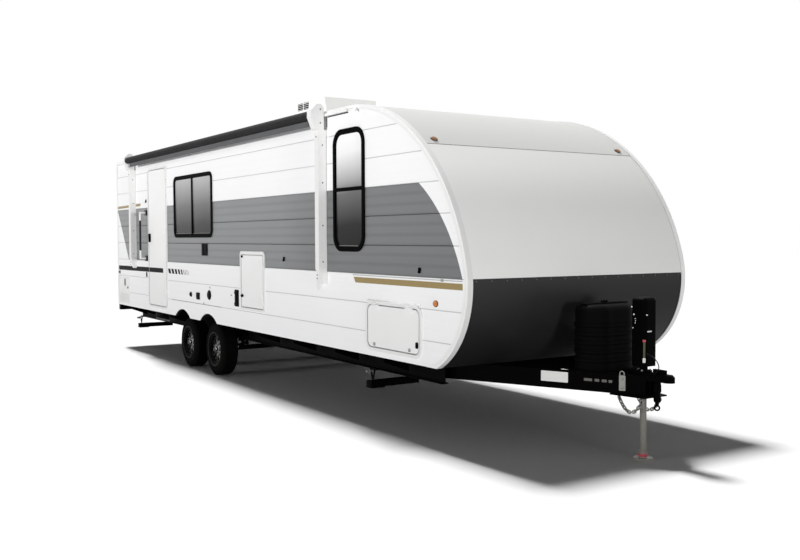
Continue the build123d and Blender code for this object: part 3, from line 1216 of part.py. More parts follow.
# --- Stabilisers -------------------------------------------------------------------------------
leg_low = STABILISER_PIVOT_HEIGHT - STABILISER_LEG_DEPTH / 2
leg_high = STABILISER_PIVOT_HEIGHT + STABILISER_LEG_DEPTH / 2
pivot_y = STABILISER_INNER_Y + STABILISER_PIVOT_INSET
leg_half = STABILISER_LEG_WIDTH / 2
foot_half = leg_half + STABILISER_FOOT_LAP
cheek_inside = leg_half + STABILISER_SIDE_GAP
cheek_outside = cheek_inside + STABILISER_WALL
top_plate_low = RAIL_BOTTOM - STABILISER_TOP_THICKNESS
cheek_high = RAIL_BOTTOM - STABILISER_TOP_THICKNESS / 2
toe_low = STABILISER_PIVOT_HEIGHT - STABILISER_TOE_HALF
stabiliser_frames = []
for name, middle_x, side in STABILISERS:
    leg = block(
        middle_x - leg_half, middle_x + leg_half, -STABILISER_OUTER_Y, -STABILISER_INNER_Y,
        leg_low, leg_high)
    leg -= block(
        middle_x - leg_half + STABILISER_WALL, middle_x + leg_half - STABILISER_WALL,
        -STABILISER_OUTER_Y + STABILISER_WALL, -STABILISER_INNER_Y + CUT_PAST,
        leg_low + STABILISER_WALL, leg_high + CUT_PAST)
    leg += block(
        middle_x - foot_half, middle_x + foot_half, -STABILISER_OUTER_Y,
        -STABILISER_OUTER_Y + STABILISER_FOOT, leg_low - STABILISER_FOOT_THICKNESS, leg_low)
    pin_hole = rod(
        (middle_x - leg_half - CUT_PAST, -pivot_y, STABILISER_PIVOT_HEIGHT),
        (middle_x + leg_half + CUT_PAST, -pivot_y, STABILISER_PIVOT_HEIGHT),
        PIVOT_DIAMETER + 2 * PIVOT_CLEARANCE)
    nodes["stabiliser_leg_" + name] = on_side(leg - pin_hole, side)
    frame = block(
        middle_x - cheek_outside, middle_x + cheek_outside, -rail_outer,
        -pivot_y + STABILISER_CHEEK_HALF, top_plate_low, RAIL_BOTTOM)
    frame += rod(
        (middle_x - cheek_outside, -pivot_y, STABILISER_PIVOT_HEIGHT),
        (middle_x + cheek_outside, -pivot_y, STABILISER_PIVOT_HEIGHT), PIVOT_DIAMETER)
    for plate_x in (middle_x - cheek_outside, middle_x + cheek_inside):
        outline = [
            (-pivot_y - STABILISER_CHEEK_HALF, cheek_high),
            (-pivot_y - STABILISER_TOE_HALF, toe_low),
            (-pivot_y + STABILISER_TOE_HALF, toe_low),
            (-pivot_y + STABILISER_CHEEK_HALF, cheek_high),
        ]
        frame += cross_outline(outline, plate_x, plate_x + STABILISER_WALL)
    v_outline = [
        (middle_x - STABILISER_V_HALF, cheek_high),
        (middle_x - STABILISER_V_HALF + STABILISER_V_BAR, cheek_high),
        (middle_x, leg_high + STABILISER_V_THROAT),
        (middle_x + STABILISER_V_HALF - STABILISER_V_BAR, cheek_high),
        (middle_x + STABILISER_V_HALF, cheek_high),
        (middle_x + STABILISER_V_TOE, leg_high + STABILISER_SIDE_GAP),
        (middle_x - STABILISER_V_TOE, leg_high + STABILISER_SIDE_GAP),
    ]
    frame += side_outline(v_outline, -rail_outer, -rail_outer + STABILISER_V_THICKNESS)
    stabiliser_frames.append(on_side(frame, side))
nodes["stabiliser_frames"] = stabiliser_frames

# --- Entry step --------------------------------------------------------------------------------
half_step = STEP_WIDTH / 2
step_inner_y = STEP_OUTER_Y - STEP_DEPTH
step_frame = block(
    STEP_X - half_step, STEP_X + half_step, -STEP_OUTER_Y, -step_inner_y,
    BODY_BOTTOM - STEP_PLATE, BODY_BOTTOM)
for plate_x in (STEP_X - half_step, STEP_X + half_step - STEP_PLATE):
    step_frame += block(
        plate_x, plate_x + STEP_PLATE, -STEP_OUTER_Y, -step_inner_y,
        BODY_BOTTOM - STEP_FRAME_HEIGHT, BODY_BOTTOM)
nodes["entry_step_frame"] = step_frame
half_tread = half_step - STEP_PLATE - STEP_SLIDE_GAP
tread_bottom = BODY_BOTTOM - STEP_ARM_DROP
tread = block(
    STEP_X - half_tread, STEP_X + half_tread, -STEP_OUTER_Y, -STEP_OUTER_Y + STEP_TREAD_DEPTH,
    tread_bottom, tread_bottom + STEP_TREAD_THICKNESS)
for arm_x in (STEP_X - half_tread, STEP_X + half_tread - STEP_PLATE):
    tread += block(
        arm_x, arm_x + STEP_PLATE, -STEP_OUTER_Y, -STEP_OUTER_Y + STEP_TREAD_DEPTH, tread_bottom,
        BODY_BOTTOM - STEP_PLATE - STEP_SLIDE_GAP)
nodes["entry_step_tread"] = tread

# --- Lamps -------------------------------------------------------------------------------------
lamps = []
for lamp_x in SIDE_MARKERS_X:
    lamp = block(
        lamp_x - SIDE_MARKER_LENGTH / 2, lamp_x + SIDE_MARKER_LENGTH / 2,
        -HALF_WIDTH - SIDE_MARKER_PROUD, -HALF_WIDTH, SIDE_MARKER_HEIGHT - SIDE_MARKER_TALL / 2,
        SIDE_MARKER_HEIGHT + SIDE_MARKER_TALL / 2)
    lamps.extend(both_sides(lamp))
tail = block(
    -TAIL_LAMP_PROUD, 0, -TAIL_LAMP_Y - TAIL_LAMP_WIDTH / 2, -TAIL_LAMP_Y + TAIL_LAMP_WIDTH / 2,
    TAIL_LAMP_BOTTOM, TAIL_LAMP_TOP)
nodes["tail_lamps"] = both_sides(tail)

cap_angle = angle_at_height(CAP_MARKER_HEIGHT)
cap_x, _, cap_z = front_point(cap_angle, 0)
for lamp_y in (CAP_MARKER_Y, -CAP_MARKER_Y):
    place = Pos(cap_x, lamp_y, cap_z) * Rot(0, cap_angle * 180 / pi, 0)
    lamps.append(place * block(
        -SIDE_MARKER_TALL / 2, SIDE_MARKER_TALL / 2, -CAP_MARKER_SIZE / 2, CAP_MARKER_SIZE / 2,
        0, SIDE_MARKER_PROUD))
nodes["marker_lamps"] = lamps


# --- Safety chains and cable -------------------------------------------------------------------
def chain_curve(share):
    """The hanging chain's centre line, by the share of the way from rear to front."""
    x = CHAIN_REAR + (CHAIN_FRONT - CHAIN_REAR) * share
    z = gusset_bottom - CHAIN_LUG_REACH - 4 * CHAIN_DROP * share * (1 - share)
    return Vector(x, -CHAIN_Y, z)


link_outside = SlotOverall(CHAIN_OPENING + 2 * CHAIN_WIRE, CHAIN_LINK_WIDTH)
link_inside = SlotOverall(CHAIN_OPENING, CHAIN_LINK_WIDTH - 2 * CHAIN_WIRE)
flat_link = Pos(0, 0, -CHAIN_WIRE / 2) * extrude(link_outside - link_inside, CHAIN_WIRE)
chain = []
spacing = CHAIN_OPENING - CHAIN_SLACK
travelled = spacing
before = chain_curve(0)
for step in range(1, CHAIN_STEPS + 1):
    here = chain_curve(step / CHAIN_STEPS)
    travelled += (here - before).length
    if travelled >= spacing:
        travelled -= spacing
        tilt = Plane(origin=here, x_dir=here - before, z_dir=(here - before).cross(Vector(0, 1, 0)))
        roll = 90 if len(chain) % 2 else 0
        chain.append(tilt * Rot(roll, 0, 0) * flat_link)
    before = here
nodes["safety_chains"] = chain + [mirror(link, about=Plane.XZ) for link in chain]

cable_runs = [
    Vector(*end) - Vector(*start) for start, end in zip(CABLE_POINTS[:-1], CABLE_POINTS[1:])]
cable_radii = []
for run, following in zip(cable_runs[:-1], cable_runs[1:]):
    half_turn = radians(run.get_angle(following)) / 2
    shorter = min(run.length, following.length)
    cable_radii.append(CABLE_BEND_SHARE * shorter * cos(half_turn) / sin(half_turn))
print("cable radii", [round(radius, 1) for radius in cable_radii])
cable_path = FilletPolyline(*CABLE_POINTS, radius=cable_radii)
cable_start = Plane(origin=cable_path @ 0, z_dir=cable_path % 0)
nodes["tongue_cable"] = sweep(cable_start * Circle(CABLE_DIAMETER / 2), path=cable_path)
print("cable length", round(cable_path.length, 1))

# --- Files -------------------------------------------------------------------------------------
to_ball = Pos(-BALL_X, 0, -BALL_HEIGHT)
for node_name, shape in nodes.items():
    shapes = shape if isinstance(shape, list) else [shape]
    placed = Compound(children=[to_ball * solid for solid in solids_of(shapes)])
    placed.label = node_name
    export_step(placed, "parts/" + node_name + ".step")
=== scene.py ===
from math import acos, cos, pi, radians, sin, sqrt

import bmesh
import bpy
from mathutils import Matrix, Vector


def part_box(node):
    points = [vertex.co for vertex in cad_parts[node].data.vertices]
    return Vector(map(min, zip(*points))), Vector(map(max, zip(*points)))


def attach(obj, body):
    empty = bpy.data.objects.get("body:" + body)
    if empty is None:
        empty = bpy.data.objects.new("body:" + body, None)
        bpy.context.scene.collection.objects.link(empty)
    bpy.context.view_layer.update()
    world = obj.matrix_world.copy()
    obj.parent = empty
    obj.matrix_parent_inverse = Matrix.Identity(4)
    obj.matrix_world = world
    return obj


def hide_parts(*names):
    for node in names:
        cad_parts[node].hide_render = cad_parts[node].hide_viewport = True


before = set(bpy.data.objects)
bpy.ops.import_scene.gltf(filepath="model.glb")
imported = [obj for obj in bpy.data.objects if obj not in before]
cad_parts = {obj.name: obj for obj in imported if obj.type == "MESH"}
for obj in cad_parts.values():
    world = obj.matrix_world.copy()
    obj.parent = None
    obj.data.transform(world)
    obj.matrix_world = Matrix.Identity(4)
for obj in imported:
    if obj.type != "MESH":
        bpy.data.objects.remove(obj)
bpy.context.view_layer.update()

# --- Studio ---
# The caravan stands on pale seamless paper under a plain white sky. Level lamps light both sides
# and the front without reaching the floor, and a high key lamp from behind throws the shadow. The
# paper is duller to all but the camera, so it lifts neither the shadow nor the underside.
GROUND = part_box("tyre_rear_right")[0][2]
CAMERA_PLACE = (4.764, -5.45982, 1.08914)
CAMERA_TURNS = ((57.3581, "Z"), (87.3954, "X"), (-0.1811, "Z"))  # degrees
CAMERA_LENS_MM = 41.705
SENSOR_WIDTH_MM = 36.0
VIEW_REACH = 200.0
LAMPS = (  # name, strength, softness, towards x, y, z
    ("fill_side", 2.5, 8, 0.10, 1.0, 0.0),
    ("front_light", 2.15, 10, -1.0, 0.10, 0.0),
    ("far_fill", 1.9, 8, 0.05, -1.0, 0.0),
    ("high_key", 3.5, 9, 0.60, 0.0, -1.0),
)
SKY_LEVEL = 0.07
PAPER_HALF = 60.0


def linear(hex_colour):
    """An sRGB hex colour as the linear values that a shader takes."""
    parts = [int(hex_colour[i:i + 2], 16) / 255 for i in (1, 3, 5)]
    return *(p / 12.92 if p <= 0.04045 else ((p + 0.055) / 1.055) ** 2.4 for p in parts), 1.0


class Tree:
    """A node tree in the making."""

    def __init__(self, tree):
        self.tree = tree

    def node(self, kind, inputs=(), **settings):
        """Adds one node, told without its family, and fills or links its inputs."""
        family = next(family for family in ("ShaderNode", "GeometryNode", "FunctionNode", "Node")
                      if hasattr(bpy.types, family + kind))
        new = self.tree.nodes.new(family + kind)
        for name, value in settings.items():
            setattr(new, name, value)
        for socket, value in dict(inputs).items():
            if isinstance(value, bpy.types.NodeSocket):
                self.tree.links.new(value, new.inputs[socket])
            elif isinstance(value, str) and value.startswith("#"):
                new.inputs[socket].default_value = linear(value)
            else:
                new.inputs[socket].default_value = value
        return new

    def put(self, kind, inputs=(), **settings):
        """Adds one node and gives its first output."""
        return self.node(kind, inputs, **settings).outputs[0]

    def maths(self, operation, first, second=0.0, third=0.0):
        """Adds one sum."""
        return self.put("Math", {0: first, 1: second, 2: third}, operation=operation)


def add_object(name, data):
    """Puts a new object in the scene."""
    new = bpy.data.objects.new(name, data)
    bpy.context.scene.collection.objects.link(new)
    return new


def split_rays(owner, output, shader, rays, elsewhere, seen):
    """Gives a world or material a shader with one set of inputs for some rays, one for the rest."""
    owner.use_nodes = True
    owner.node_tree.nodes.clear()
    tree = Tree(owner.node_tree)
    path = tree.node("LightPath").outputs
    share = 0.0
    for ray in rays:
        share = tree.maths("MAXIMUM", share, path[ray])
    both = tree.put("MixShader", {0: share, 1: tree.put(shader, elsewhere),
                                  2: tree.put(shader, seen)})
    tree.node(output, {"Surface": both})


camera = add_object("camera", bpy.data.cameras.new("camera"))
camera.data.lens = CAMERA_LENS_MM
camera.data.sensor_width = SENSOR_WIDTH_MM
camera.data.clip_end = VIEW_REACH
camera.matrix_world = Matrix.Translation(CAMERA_PLACE)
for degrees, axis in CAMERA_TURNS:
    camera.matrix_world = camera.matrix_world @ Matrix.Rotation(radians(degrees), 4, axis)
bpy.context.scene.camera = camera
bpy.context.scene.view_settings.view_transform = "Standard"

for name, strength, softness, *towards in LAMPS:
    lamp = add_object(name, bpy.data.lights.new(name, "SUN"))
    lamp.data.energy = strength
    lamp.data.angle = radians(softness)
    lamp.rotation_euler = Vector(towards).to_track_quat("-Z", "Y").to_euler()
    lamp.visible_glossy = towards[2] < 0  # a level lamp would glare on a wall that faces it

sky = bpy.context.scene.world = bpy.data.worlds.new("studio_sky")
split_rays(sky, "OutputWorld", "Background", ("Is Camera Ray", "Is Glossy Ray",
                                              "Is Transmission Ray"),
           {"Color": "#FFFFFF", "Strength": SKY_LEVEL}, {"Color": "#FFFFFF", "Strength": 1.0})
# Seamless paper: near white to the camera, mid grey to the light that it throws back.
paper = bpy.data.materials.new("seamless_paper")
split_rays(paper, "OutputMaterial", "BsdfDiffuse", ("Is Camera Ray",), {"Color": "#BFBFBF"},
           {"Color": "#FDFDFD"})
floor_mesh = bpy.data.meshes.new("studio_floor")
floor_mesh.from_pydata([(x * PAPER_HALF, y * PAPER_HALF, GROUND) for x, y in
                        ((-1, -1), (1, -1), (1, 1), (-1, 1))], [], [(0, 1, 2, 3)])
floor_mesh.materials.append(paper)
studio_floor = add_object("studio_floor", floor_mesh)


# --- Tongue cable ---
# The jack motor's power lead: a round black PVC lead 8 mm thick. It leaves the motor's housing
# through a moulded relief, loops forward and down, and goes into the coupler's top.
CABLE_DIAMETER = 0.008
CABLE_ROUTE = (  # x, y, z from the ball's centre
    (-0.179, -0.045, 0.192),
    (-0.134, -0.056, 0.189),
    (-0.086, -0.064, 0.171),
    (-0.048, -0.065, 0.137),
    (-0.045, -0.056, 0.095),
    (-0.076, -0.045, 0.065),
    (-0.110, -0.038, 0.044),
)
RELIEF_LENGTH = 0.022
RELIEF_ROOT = 0.008
RELIEF_TIP = 0.0052
GLOSS_SPREAD = 0.06  # how far a finish's roughness wanders
SHARP_EDGE = radians(35)


class Finish(Tree):
    """A material in the making, read in the object's own coordinates."""

    def __init__(self, name):
        self.material = bpy.data.materials.new(name)
        self.material.use_nodes = True
        super().__init__(self.material.node_tree)
        self.inputs = self.tree.nodes["Principled BSDF"].inputs
        self.place = self.node("TexCoord").outputs["Object"]

    def axes(self):
        """The x, y and z of the object's own coordinates."""
        return self.node("SeparateXYZ", {0: self.place}).outputs

    def mix(self, share, first, second, blend="MIX"):
        """Mixes or blends two colours."""
        return self.node("Mix", {0: share, 6: first, 7: second}, data_type="RGBA",
                         blend_type=blend).outputs[2]

    def spread(self, value, low, high, at_low=0.0, at_high=1.0, **settings):
        """Maps one span of values to another."""
        return self.put("MapRange", {"Value": value, "From Min": low, "From Max": high,
                                     "To Min": at_low, "To Max": at_high}, **settings)

    def cloud(self, grain_mm, detail, roughness=0.5):
        """Noise of the given grain size."""
        return self.put("TexNoise", {"Vector": self.place, "Scale": 1000.0 / grain_mm,
                                     "Detail": detail, "Roughness": roughness})

    def bump(self, height, strength, depth, **under):
        """A relief from a height, laid over another where it is given."""
        return self.put("Bump", {"Height": height, "Strength": strength, "Distance": depth,
                                 **under})

    def colour(self):
        """What the base colour is linked to."""
        return self.inputs["Base Color"].links[0].from_socket

    def set(self, **values):
        """Sets or links the shader's inputs, named with underscores for spaces."""
        for name, value in values.items():
            socket = self.inputs[name.replace("_", " ")]
            if isinstance(value, bpy.types.NodeSocket):
                self.tree.links.new(value, socket)
            else:
                socket.default_value = value


def surface(name, colour, second, roughness, grain_mm, bump_mm, metallic=0.0, coat=0.0, gloss=0.5):
    """A finish whose colour, gloss and height vary by a fine cloud of the given grain size."""
    finish = Finish(name)
    grain = finish.cloud(grain_mm, 4.0, 0.6)
    rough = finish.spread(grain, 0.3, 0.7, max(roughness - GLOSS_SPREAD, 0.02),
                          min(roughness + GLOSS_SPREAD, 1.0))
    finish.set(Base_Color=finish.mix(grain, colour, second), Roughness=rough,
               Normal=finish.bump(grain, 0.6, bump_mm / 1000), Metallic=metallic,
               Specular_IOR_Level=gloss, Coat_Weight=coat, Coat_Roughness=0.08)
    return finish


# PVC sheath, extruded: even black with a dull sheen and a faint grain.
cable_pvc = surface("cable_pvc", "#0B0B0B", "#121212", 0.45, 3.0, 0.05, gloss=0.25)
route = bpy.data.curves.new("tongue_cable_lead", "CURVE")
route.dimensions = "3D"
route.bevel_depth = CABLE_DIAMETER / 2
route.bevel_resolution = 4
route.use_fill_caps = True
run = route.splines.new("NURBS")
run.points.add(len(CABLE_ROUTE) - 1)
for point, place in zip(run.points, CABLE_ROUTE):
    point.co = (*place, 1.0)
run.order_u = 3
run.use_endpoint_u = True
run.resolution_u = 12
route.materials.append(cable_pvc.material)
tongue_lead = add_object("tongue_cable_lead", route)


def settle(name, mesh, body):
    """Turns a mesh into a piece that rides on a body."""
    mesh.shade_smooth()
    mesh.set_sharp_from_angle(angle=SHARP_EDGE)
    piece = add_object(name, mesh)
    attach(piece, body)
    return piece


def finished(name, work):
    """Turns mesh work into a mesh, its faces outward."""
    bmesh.ops.remove_doubles(work, verts=work.verts, dist=1e-6)
    bmesh.ops.recalc_face_normals(work, faces=work.faces)
    mesh = bpy.data.meshes.new(name)
    work.to_mesh(mesh)
    work.free()
    return mesh


def new_piece(name, work, finishes, body="caravan"):
    """Turns mesh work into a piece that rides on a body."""
    mesh = finished(name, work)
    for finish in finishes:
        mesh.materials.append(finish.material)
    return settle(name, mesh, body)


def turned(count, phase=0.0):
    """Evenly spaced (cosine, sine) pairs round a full turn."""
    return [(cos(2 * pi * (step + phase) / count), sin(2 * pi * (step + phase) / count))
            for step in range(count)]


def add_loft(work, rings, which=0, loop=False):
    """Adds a skin through rings of places, its ends closed, or joined up where it is a loop."""
    loops = [[work.verts.new(place) for place in ring] for ring in rings]
    faces = [] if loop else [work.faces.new(loops[0]), work.faces.new(loops[-1])]
    for low, high in zip(loops, loops[1:] + loops[:1] if loop else loops[1:]):
        for step in range(len(low)):
            after = (step + 1) % len(low)
            faces.append(work.faces.new((low[step], low[after], high[after], high[step])))
    for face in faces:
        face.material_index = which


def add_turning(work, start, end, stations, sides=20):
    """Adds a closed turned shape: (share of the way, radius) stations between two points."""
    axis = (Vector(end) - Vector(start)).normalized()
    across = axis.orthogonal().normalized()
    beside = axis.cross(across)
    add_loft(work, [[Vector(start).lerp(Vector(end), share) + (across * c + beside * s) * radius
                     for c, s in turned(sides)] for share, radius in stations])


work = bmesh.new()
lead_start = Vector(CABLE_ROUTE[0])
lead_way = (Vector(CABLE_ROUTE[1]) - lead_start).normalized()
add_turning(work, lead_start, lead_start + lead_way * RELIEF_LENGTH, (
    (0.0, RELIEF_ROOT), (0.3, RELIEF_ROOT), (0.35, RELIEF_ROOT * 0.85), (0.45, RELIEF_ROOT * 0.85),
    (0.5, RELIEF_ROOT * 0.9), (0.6, RELIEF_ROOT * 0.8), (0.8, RELIEF_TIP * 1.15),
    (1.0, RELIEF_TIP)))
new_piece("tongue_cable_relief", work, [cable_pvc])
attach(tongue_lead, "caravan")
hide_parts("tongue_cable")


# --- Siding ---
# Both side walls and the rear wall are aluminium sheet, roll-formed into 258 mm planks with three
# soft ribs each and coil-coated white. The side walls carry a grey field between two seams, with
# a slanted rear end and an arched front end.
PLANK = 0.258
SEAM_DATUM = 0.767  # a seam's height in the frame
SEAM_HALF = 0.005
RIB_EDGE = (0.004, 0.026)  # a rib's flank, from its middle
FIELD = (0.767, 1.541)  # the grey field's foot and head
FIELD_ARC = (-2.422, 0.254, 1.543)  # x, z and radius of its front end
FIELD_SLANT = (-10.286, 1.567, 0.7323)  # x and z of its rear end's top, and the slope
FIELD_PAINTED_SHADE = (-4.2, -3.3)  # painted shade: the grey field is painted darker ahead of here, where it catches less sheen
AXLE_MIDDLE = -6.804  # black liners close the arches' cut edges here
ARCH_REACH = 0.9
ARCH_HEAD = 0.3
SKIN = 1.2175  # the sheet's outer face lies a little beyond this


def siding(name, two_tone):
    """Ribbed, coil-coated sheet: satin white planks, seams darkened by dirt and painted shade."""
    finish = Finish(name)
    maths, mix = finish.maths, finish.mix
    x, y, z = finish.axes()
    above = maths("SUBTRACT", z, SEAM_DATUM)
    seam = finish.spread(maths("PINGPONG", above, PLANK / 2), SEAM_HALF * 0.6, SEAM_HALF * 1.2,
                         1.0, 0.0)
    rib = finish.spread(maths("PINGPONG", above, PLANK / 6), *RIB_EDGE,
                        interpolation_type="SMOOTHSTEP")
    cloud = finish.cloud(900.0, 3.0)
    # Dirt and painted shade: the seams' grooves are painted darker, on the white and on the grey
    # field.
    colour = mix(seam, mix(cloud, "#F8F8F8", "#F3F3F4"), "#CDCFCF")
    if two_tone:
        # Painted shade: the grey field's rib grooves are painted a darker grey.
        grey = mix(rib, "#757778", mix(cloud, "#818384", "#797B7C"))
        # Painted shade: the grey field's colour is multiplied darker toward the front.
        grey = mix(1.0, grey, finish.spread(x, *FIELD_PAINTED_SHADE, 1.0, 0.76), "MULTIPLY")
        from_x = maths("SUBTRACT", x, FIELD_ARC[0])
        from_z = maths("SUBTRACT", z, FIELD_ARC[1])
        reach = maths("SQRT", maths("ADD", maths("MULTIPLY", from_x, from_x),
                                    maths("MULTIPLY", from_z, from_z)))
        slant = maths("ADD", maths("MULTIPLY", z, FIELD_SLANT[2]), x)
        field = maths("MAXIMUM", maths("LESS_THAN", reach, FIELD_ARC[2]),
                      maths("LESS_THAN", x, FIELD_ARC[0]))
        for test, value, limit in (
                ("GREATER_THAN", slant, FIELD_SLANT[0] + FIELD_SLANT[1] * FIELD_SLANT[2]),
                ("GREATER_THAN", z, FIELD[0]), ("LESS_THAN", z, FIELD[1])):
            field = maths("MULTIPLY", field, maths(test, value, limit))
        colour = mix(field, colour, mix(seam, grey, "#4A4C4D"))
    cut = maths("LESS_THAN", maths("ABSOLUTE", maths("SUBTRACT", x, AXLE_MIDDLE)), ARCH_REACH)
    for value, limit in ((z, ARCH_HEAD), (maths("ABSOLUTE", y), SKIN)):
        cut = maths("MULTIPLY", cut, maths("LESS_THAN", value, limit))
    shape = finish.bump(rib, 0.7, 0.0014)
    finish.set(Base_Color=mix(cut, colour, "#0A0A0A"), Roughness=0.38, Coat_Weight=0.15,
               Normal=finish.bump(finish.cloud(3.0, 2.0), 0.2, 0.00005, Normal=shape))
    return finish


def dress(finish, *names):
    """Gives CAD pieces a finish."""
    for name in names:
        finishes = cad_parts[name].data.materials
        finishes.clear()
        finishes.append(finish.material)


dress(siding("siding_two_tone", True), "side_wall_right", "side_wall_left")
dress(siding("siding_white", False), "rear_wall")


# --- Roof and front cap ---
# The roof is white rubber membrane glued to plywood, dull and slightly rippled. The cap over the
# brow is glass fibre with a glossy gel coat. Its lower half is a dark painted band, and a row of
# small screws fastens the band's top edge to the cap.
FLOOR_REAR = 0.045  # from the body's rear face to the floor's rear edge
REAR_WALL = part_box("floor")[0][0] - FLOOR_REAR
wall_low, wall_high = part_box("side_wall_right")
BODY_LOW = (wall_low.z - GROUND) * 1000  # mm above ground
BODY_TOP = (wall_high.z - GROUND) * 1000
BODY_LENGTH = (wall_high.x - REAR_WALL) * 1000
BROW_RADIUS = 1862.0
BROW_TURN = radians(75.5)  # where the nose's sweep starts, from straight up
NOSE_END = radians(154.2)
nose_rise = BODY_TOP - BODY_LOW - BROW_RADIUS * (1 - cos(BROW_TURN))
NOSE_RADIUS = nose_rise / (cos(BROW_TURN) - cos(NOSE_END))
roof_end = BODY_LENGTH - NOSE_RADIUS - (BROW_RADIUS - NOSE_RADIUS) * sin(BROW_TURN)
BROW = (roof_end, BODY_TOP - BROW_RADIUS, BROW_RADIUS)  # station, height and radius, mm
NOSE = (roof_end + (BROW_RADIUS - NOSE_RADIUS) * sin(BROW_TURN),
        BODY_TOP - BROW_RADIUS + (BROW_RADIUS - NOSE_RADIUS) * cos(BROW_TURN), NOSE_RADIUS)
SCREW_SIZE = 0.0055  # a screw washer's radius
BAND_SCREW_SIZE = 0.006
BAND_SCREW_HEIGHT = 1392.0
BAND_SCREW_YS = range(-1140, 1141, 152)


def paint_shade(finish, axis, first, last, colour):
    """Paints shade into a finish: turns it toward another colour along an object axis, from one
    level to another.
    """
    share = finish.spread(finish.axes()[axis], first, last)
    finish.set(Base_Color=finish.mix(share, finish.colour(), colour))


# Rubber membrane: matt off-white with slow ripples, and painted shade that greys it where it bends
# to the cap.
roof_membrane = surface("roof_membrane", "#EFEFED", "#E6E6E3", 0.75, 220.0, 1.2)
paint_shade(roof_membrane, 0, -2.78, -2.62, "#D9D9D7")
dress(roof_membrane, "roof")
# Gel coat: cool off-white with a thin gloss, and painted shade that greys it toward the brow and
# the left side.
gel_coat = surface("gel_coat", "#FBFBF9", "#F7F7F5", 0.34, 700.0, 0.15, coat=0.2)
paint_shade(gel_coat, 1, -1.2, 1.2, "#E2E2E0")
paint_shade(gel_coat, 2, 1.7, 2.2, "#DEDEDC")
dress(gel_coat, "front_cap")
# Dark paint: charcoal, satin, slightly clouded, with painted shade that darkens it low down and
# toward the left side.
band_paint = surface("band_paint", "#2D2D2D", "#333333", 0.42, 600.0, 0.5, gloss=0.25)
paint_shade(band_paint, 2, 0.75, 0.1, "#191919")
paint_shade(band_paint, 1, -1.2, 1.2, "#212121")
dress(band_paint, "front_cap_band")


class Growth(Tree):
    """A Geometry Nodes tree in the making, with named inputs of (name, kind, value)."""

    def __init__(self, name, *wanted):
        super().__init__(bpy.data.node_groups.new(name, "GeometryNodeTree"))
        face = self.tree.interface
        face.new_socket("Geometry", in_out="INPUT", socket_type="NodeSocketGeometry")
        for label, kind, value in wanted:
            face.new_socket(label, in_out="INPUT",
                            socket_type="NodeSocket" + kind).default_value = value
        face.new_socket("Geometry", in_out="OUTPUT", socket_type="NodeSocketGeometry")
        self.given = self.node("GroupInput").outputs

    def told(self, name):
        """The vector attribute of that name."""
        return self.put("InputNamedAttribute", {"Name": name}, data_type="FLOAT_VECTOR")

    def end(self, geometry, finish):
        """Ends with real copies in one finish."""
        real = self.put("RealizeInstances", {0: geometry})
        self.node("GroupOutput", {0: self.put("SetMaterial", {0: real,
                                                              "Material": finish.material})})
        return self.tree


def grow(name, start, tree, slot, body="caravan", **values):
    """Runs a tree on a mesh and keeps the result as a plain piece that rides on a body."""
    host = add_object(name + "_host", start)
    modifier = host.modifiers.new("grow", "NODES")
    modifier.node_group = tree
    for item in tree.interface.items_tree:
        if item.in_out == "INPUT" and item.name in values:
            modifier[item.identifier] = values[item.name]
    graph = bpy.context.evaluated_depsgraph_get()
    mesh = bpy.data.meshes.new_from_object(host.evaluated_get(graph), depsgraph=graph)
    host.modifiers.clear()
    bpy.data.objects.remove(host)
    mesh.name = name
    return settle(name, mesh, body)


def point_mesh(name, attribute, points, vectors):
    """Loose points with a named vector each."""
    mesh = bpy.data.meshes.new(name)
    mesh.from_pydata([tuple(p) for p in points], [], [])
    told = mesh.attributes.new(attribute, "FLOAT_VECTOR", "POINT")
    for index, vector in enumerate(vectors):
        told.data[index].vector = vector
    return mesh


def screw_tree(finish):
    """A hex-head screw with a washer face on every point, square to its "out" direction."""
    tree = Growth("screws_" + finish.material.name, ("Size", "Float", SCREW_SIZE))
    size = tree.given["Size"]
    top, thick, half_head, tall, rise = [tree.maths("MULTIPLY", size, share)
                                         for share in (0.82, 0.3, 0.66, 0.55, 0.5)]
    washer = tree.put("MeshCone", {"Vertices": 12, "Radius Top": top, "Radius Bottom": size,
                                   "Depth": thick})
    head = tree.put("MeshCylinder", {"Vertices": 6, "Radius": half_head, "Depth": tall})
    raised = tree.put("Transform", {0: head, "Translation": tree.put("CombineXYZ", {2: rise})})
    screw = tree.node("JoinGeometry", {0: washer})
    tree.tree.links.new(raised, screw.inputs[0])
    facing = tree.put("AlignRotationToVector", {"Vector": tree.told("out")}, axis="Z")
    return tree.end(tree.put("InstanceOnPoints", {
        "Points": tree.given[0], "Instance": screw.outputs[0], "Rotation": facing}), finish)


def add_screws(name, places, tree, slot, size, out=None, body="caravan"):
    """Makes a piece of screws, at places that all face one way or at (place, way) pairs."""
    pairs = [(place, out) for place in places] if out else places
    grow(name, point_mesh(name + "_points", "out", *zip(*pairs)), tree, slot, body, Size=size)


def spot(station, y, height):
    """A place in the frame from mm: ahead of the rear wall, to the left, above ground."""
    return Vector((REAR_WALL + station / 1000, y / 1000, GROUND + height / 1000))


# Weathered screw heads: grey zinc, a little paler than the band.
weathered_zinc = surface("weathered_zinc", "#6E6E6C", "#5C5C5A", 0.5, 2.0, 0.05)
weathered_screws = screw_tree(weathered_zinc)
rise = BAND_SCREW_HEIGHT - NOSE[1]
lean = sqrt(NOSE_RADIUS ** 2 - rise ** 2)
places = [spot(NOSE[0] + lean + 0.4, y, BAND_SCREW_HEIGHT) for y in BAND_SCREW_YS]
add_screws("band_screws", places, weathered_screws, "zinc", BAND_SCREW_SIZE,
           Vector((lean, 0, rise)).normalized())


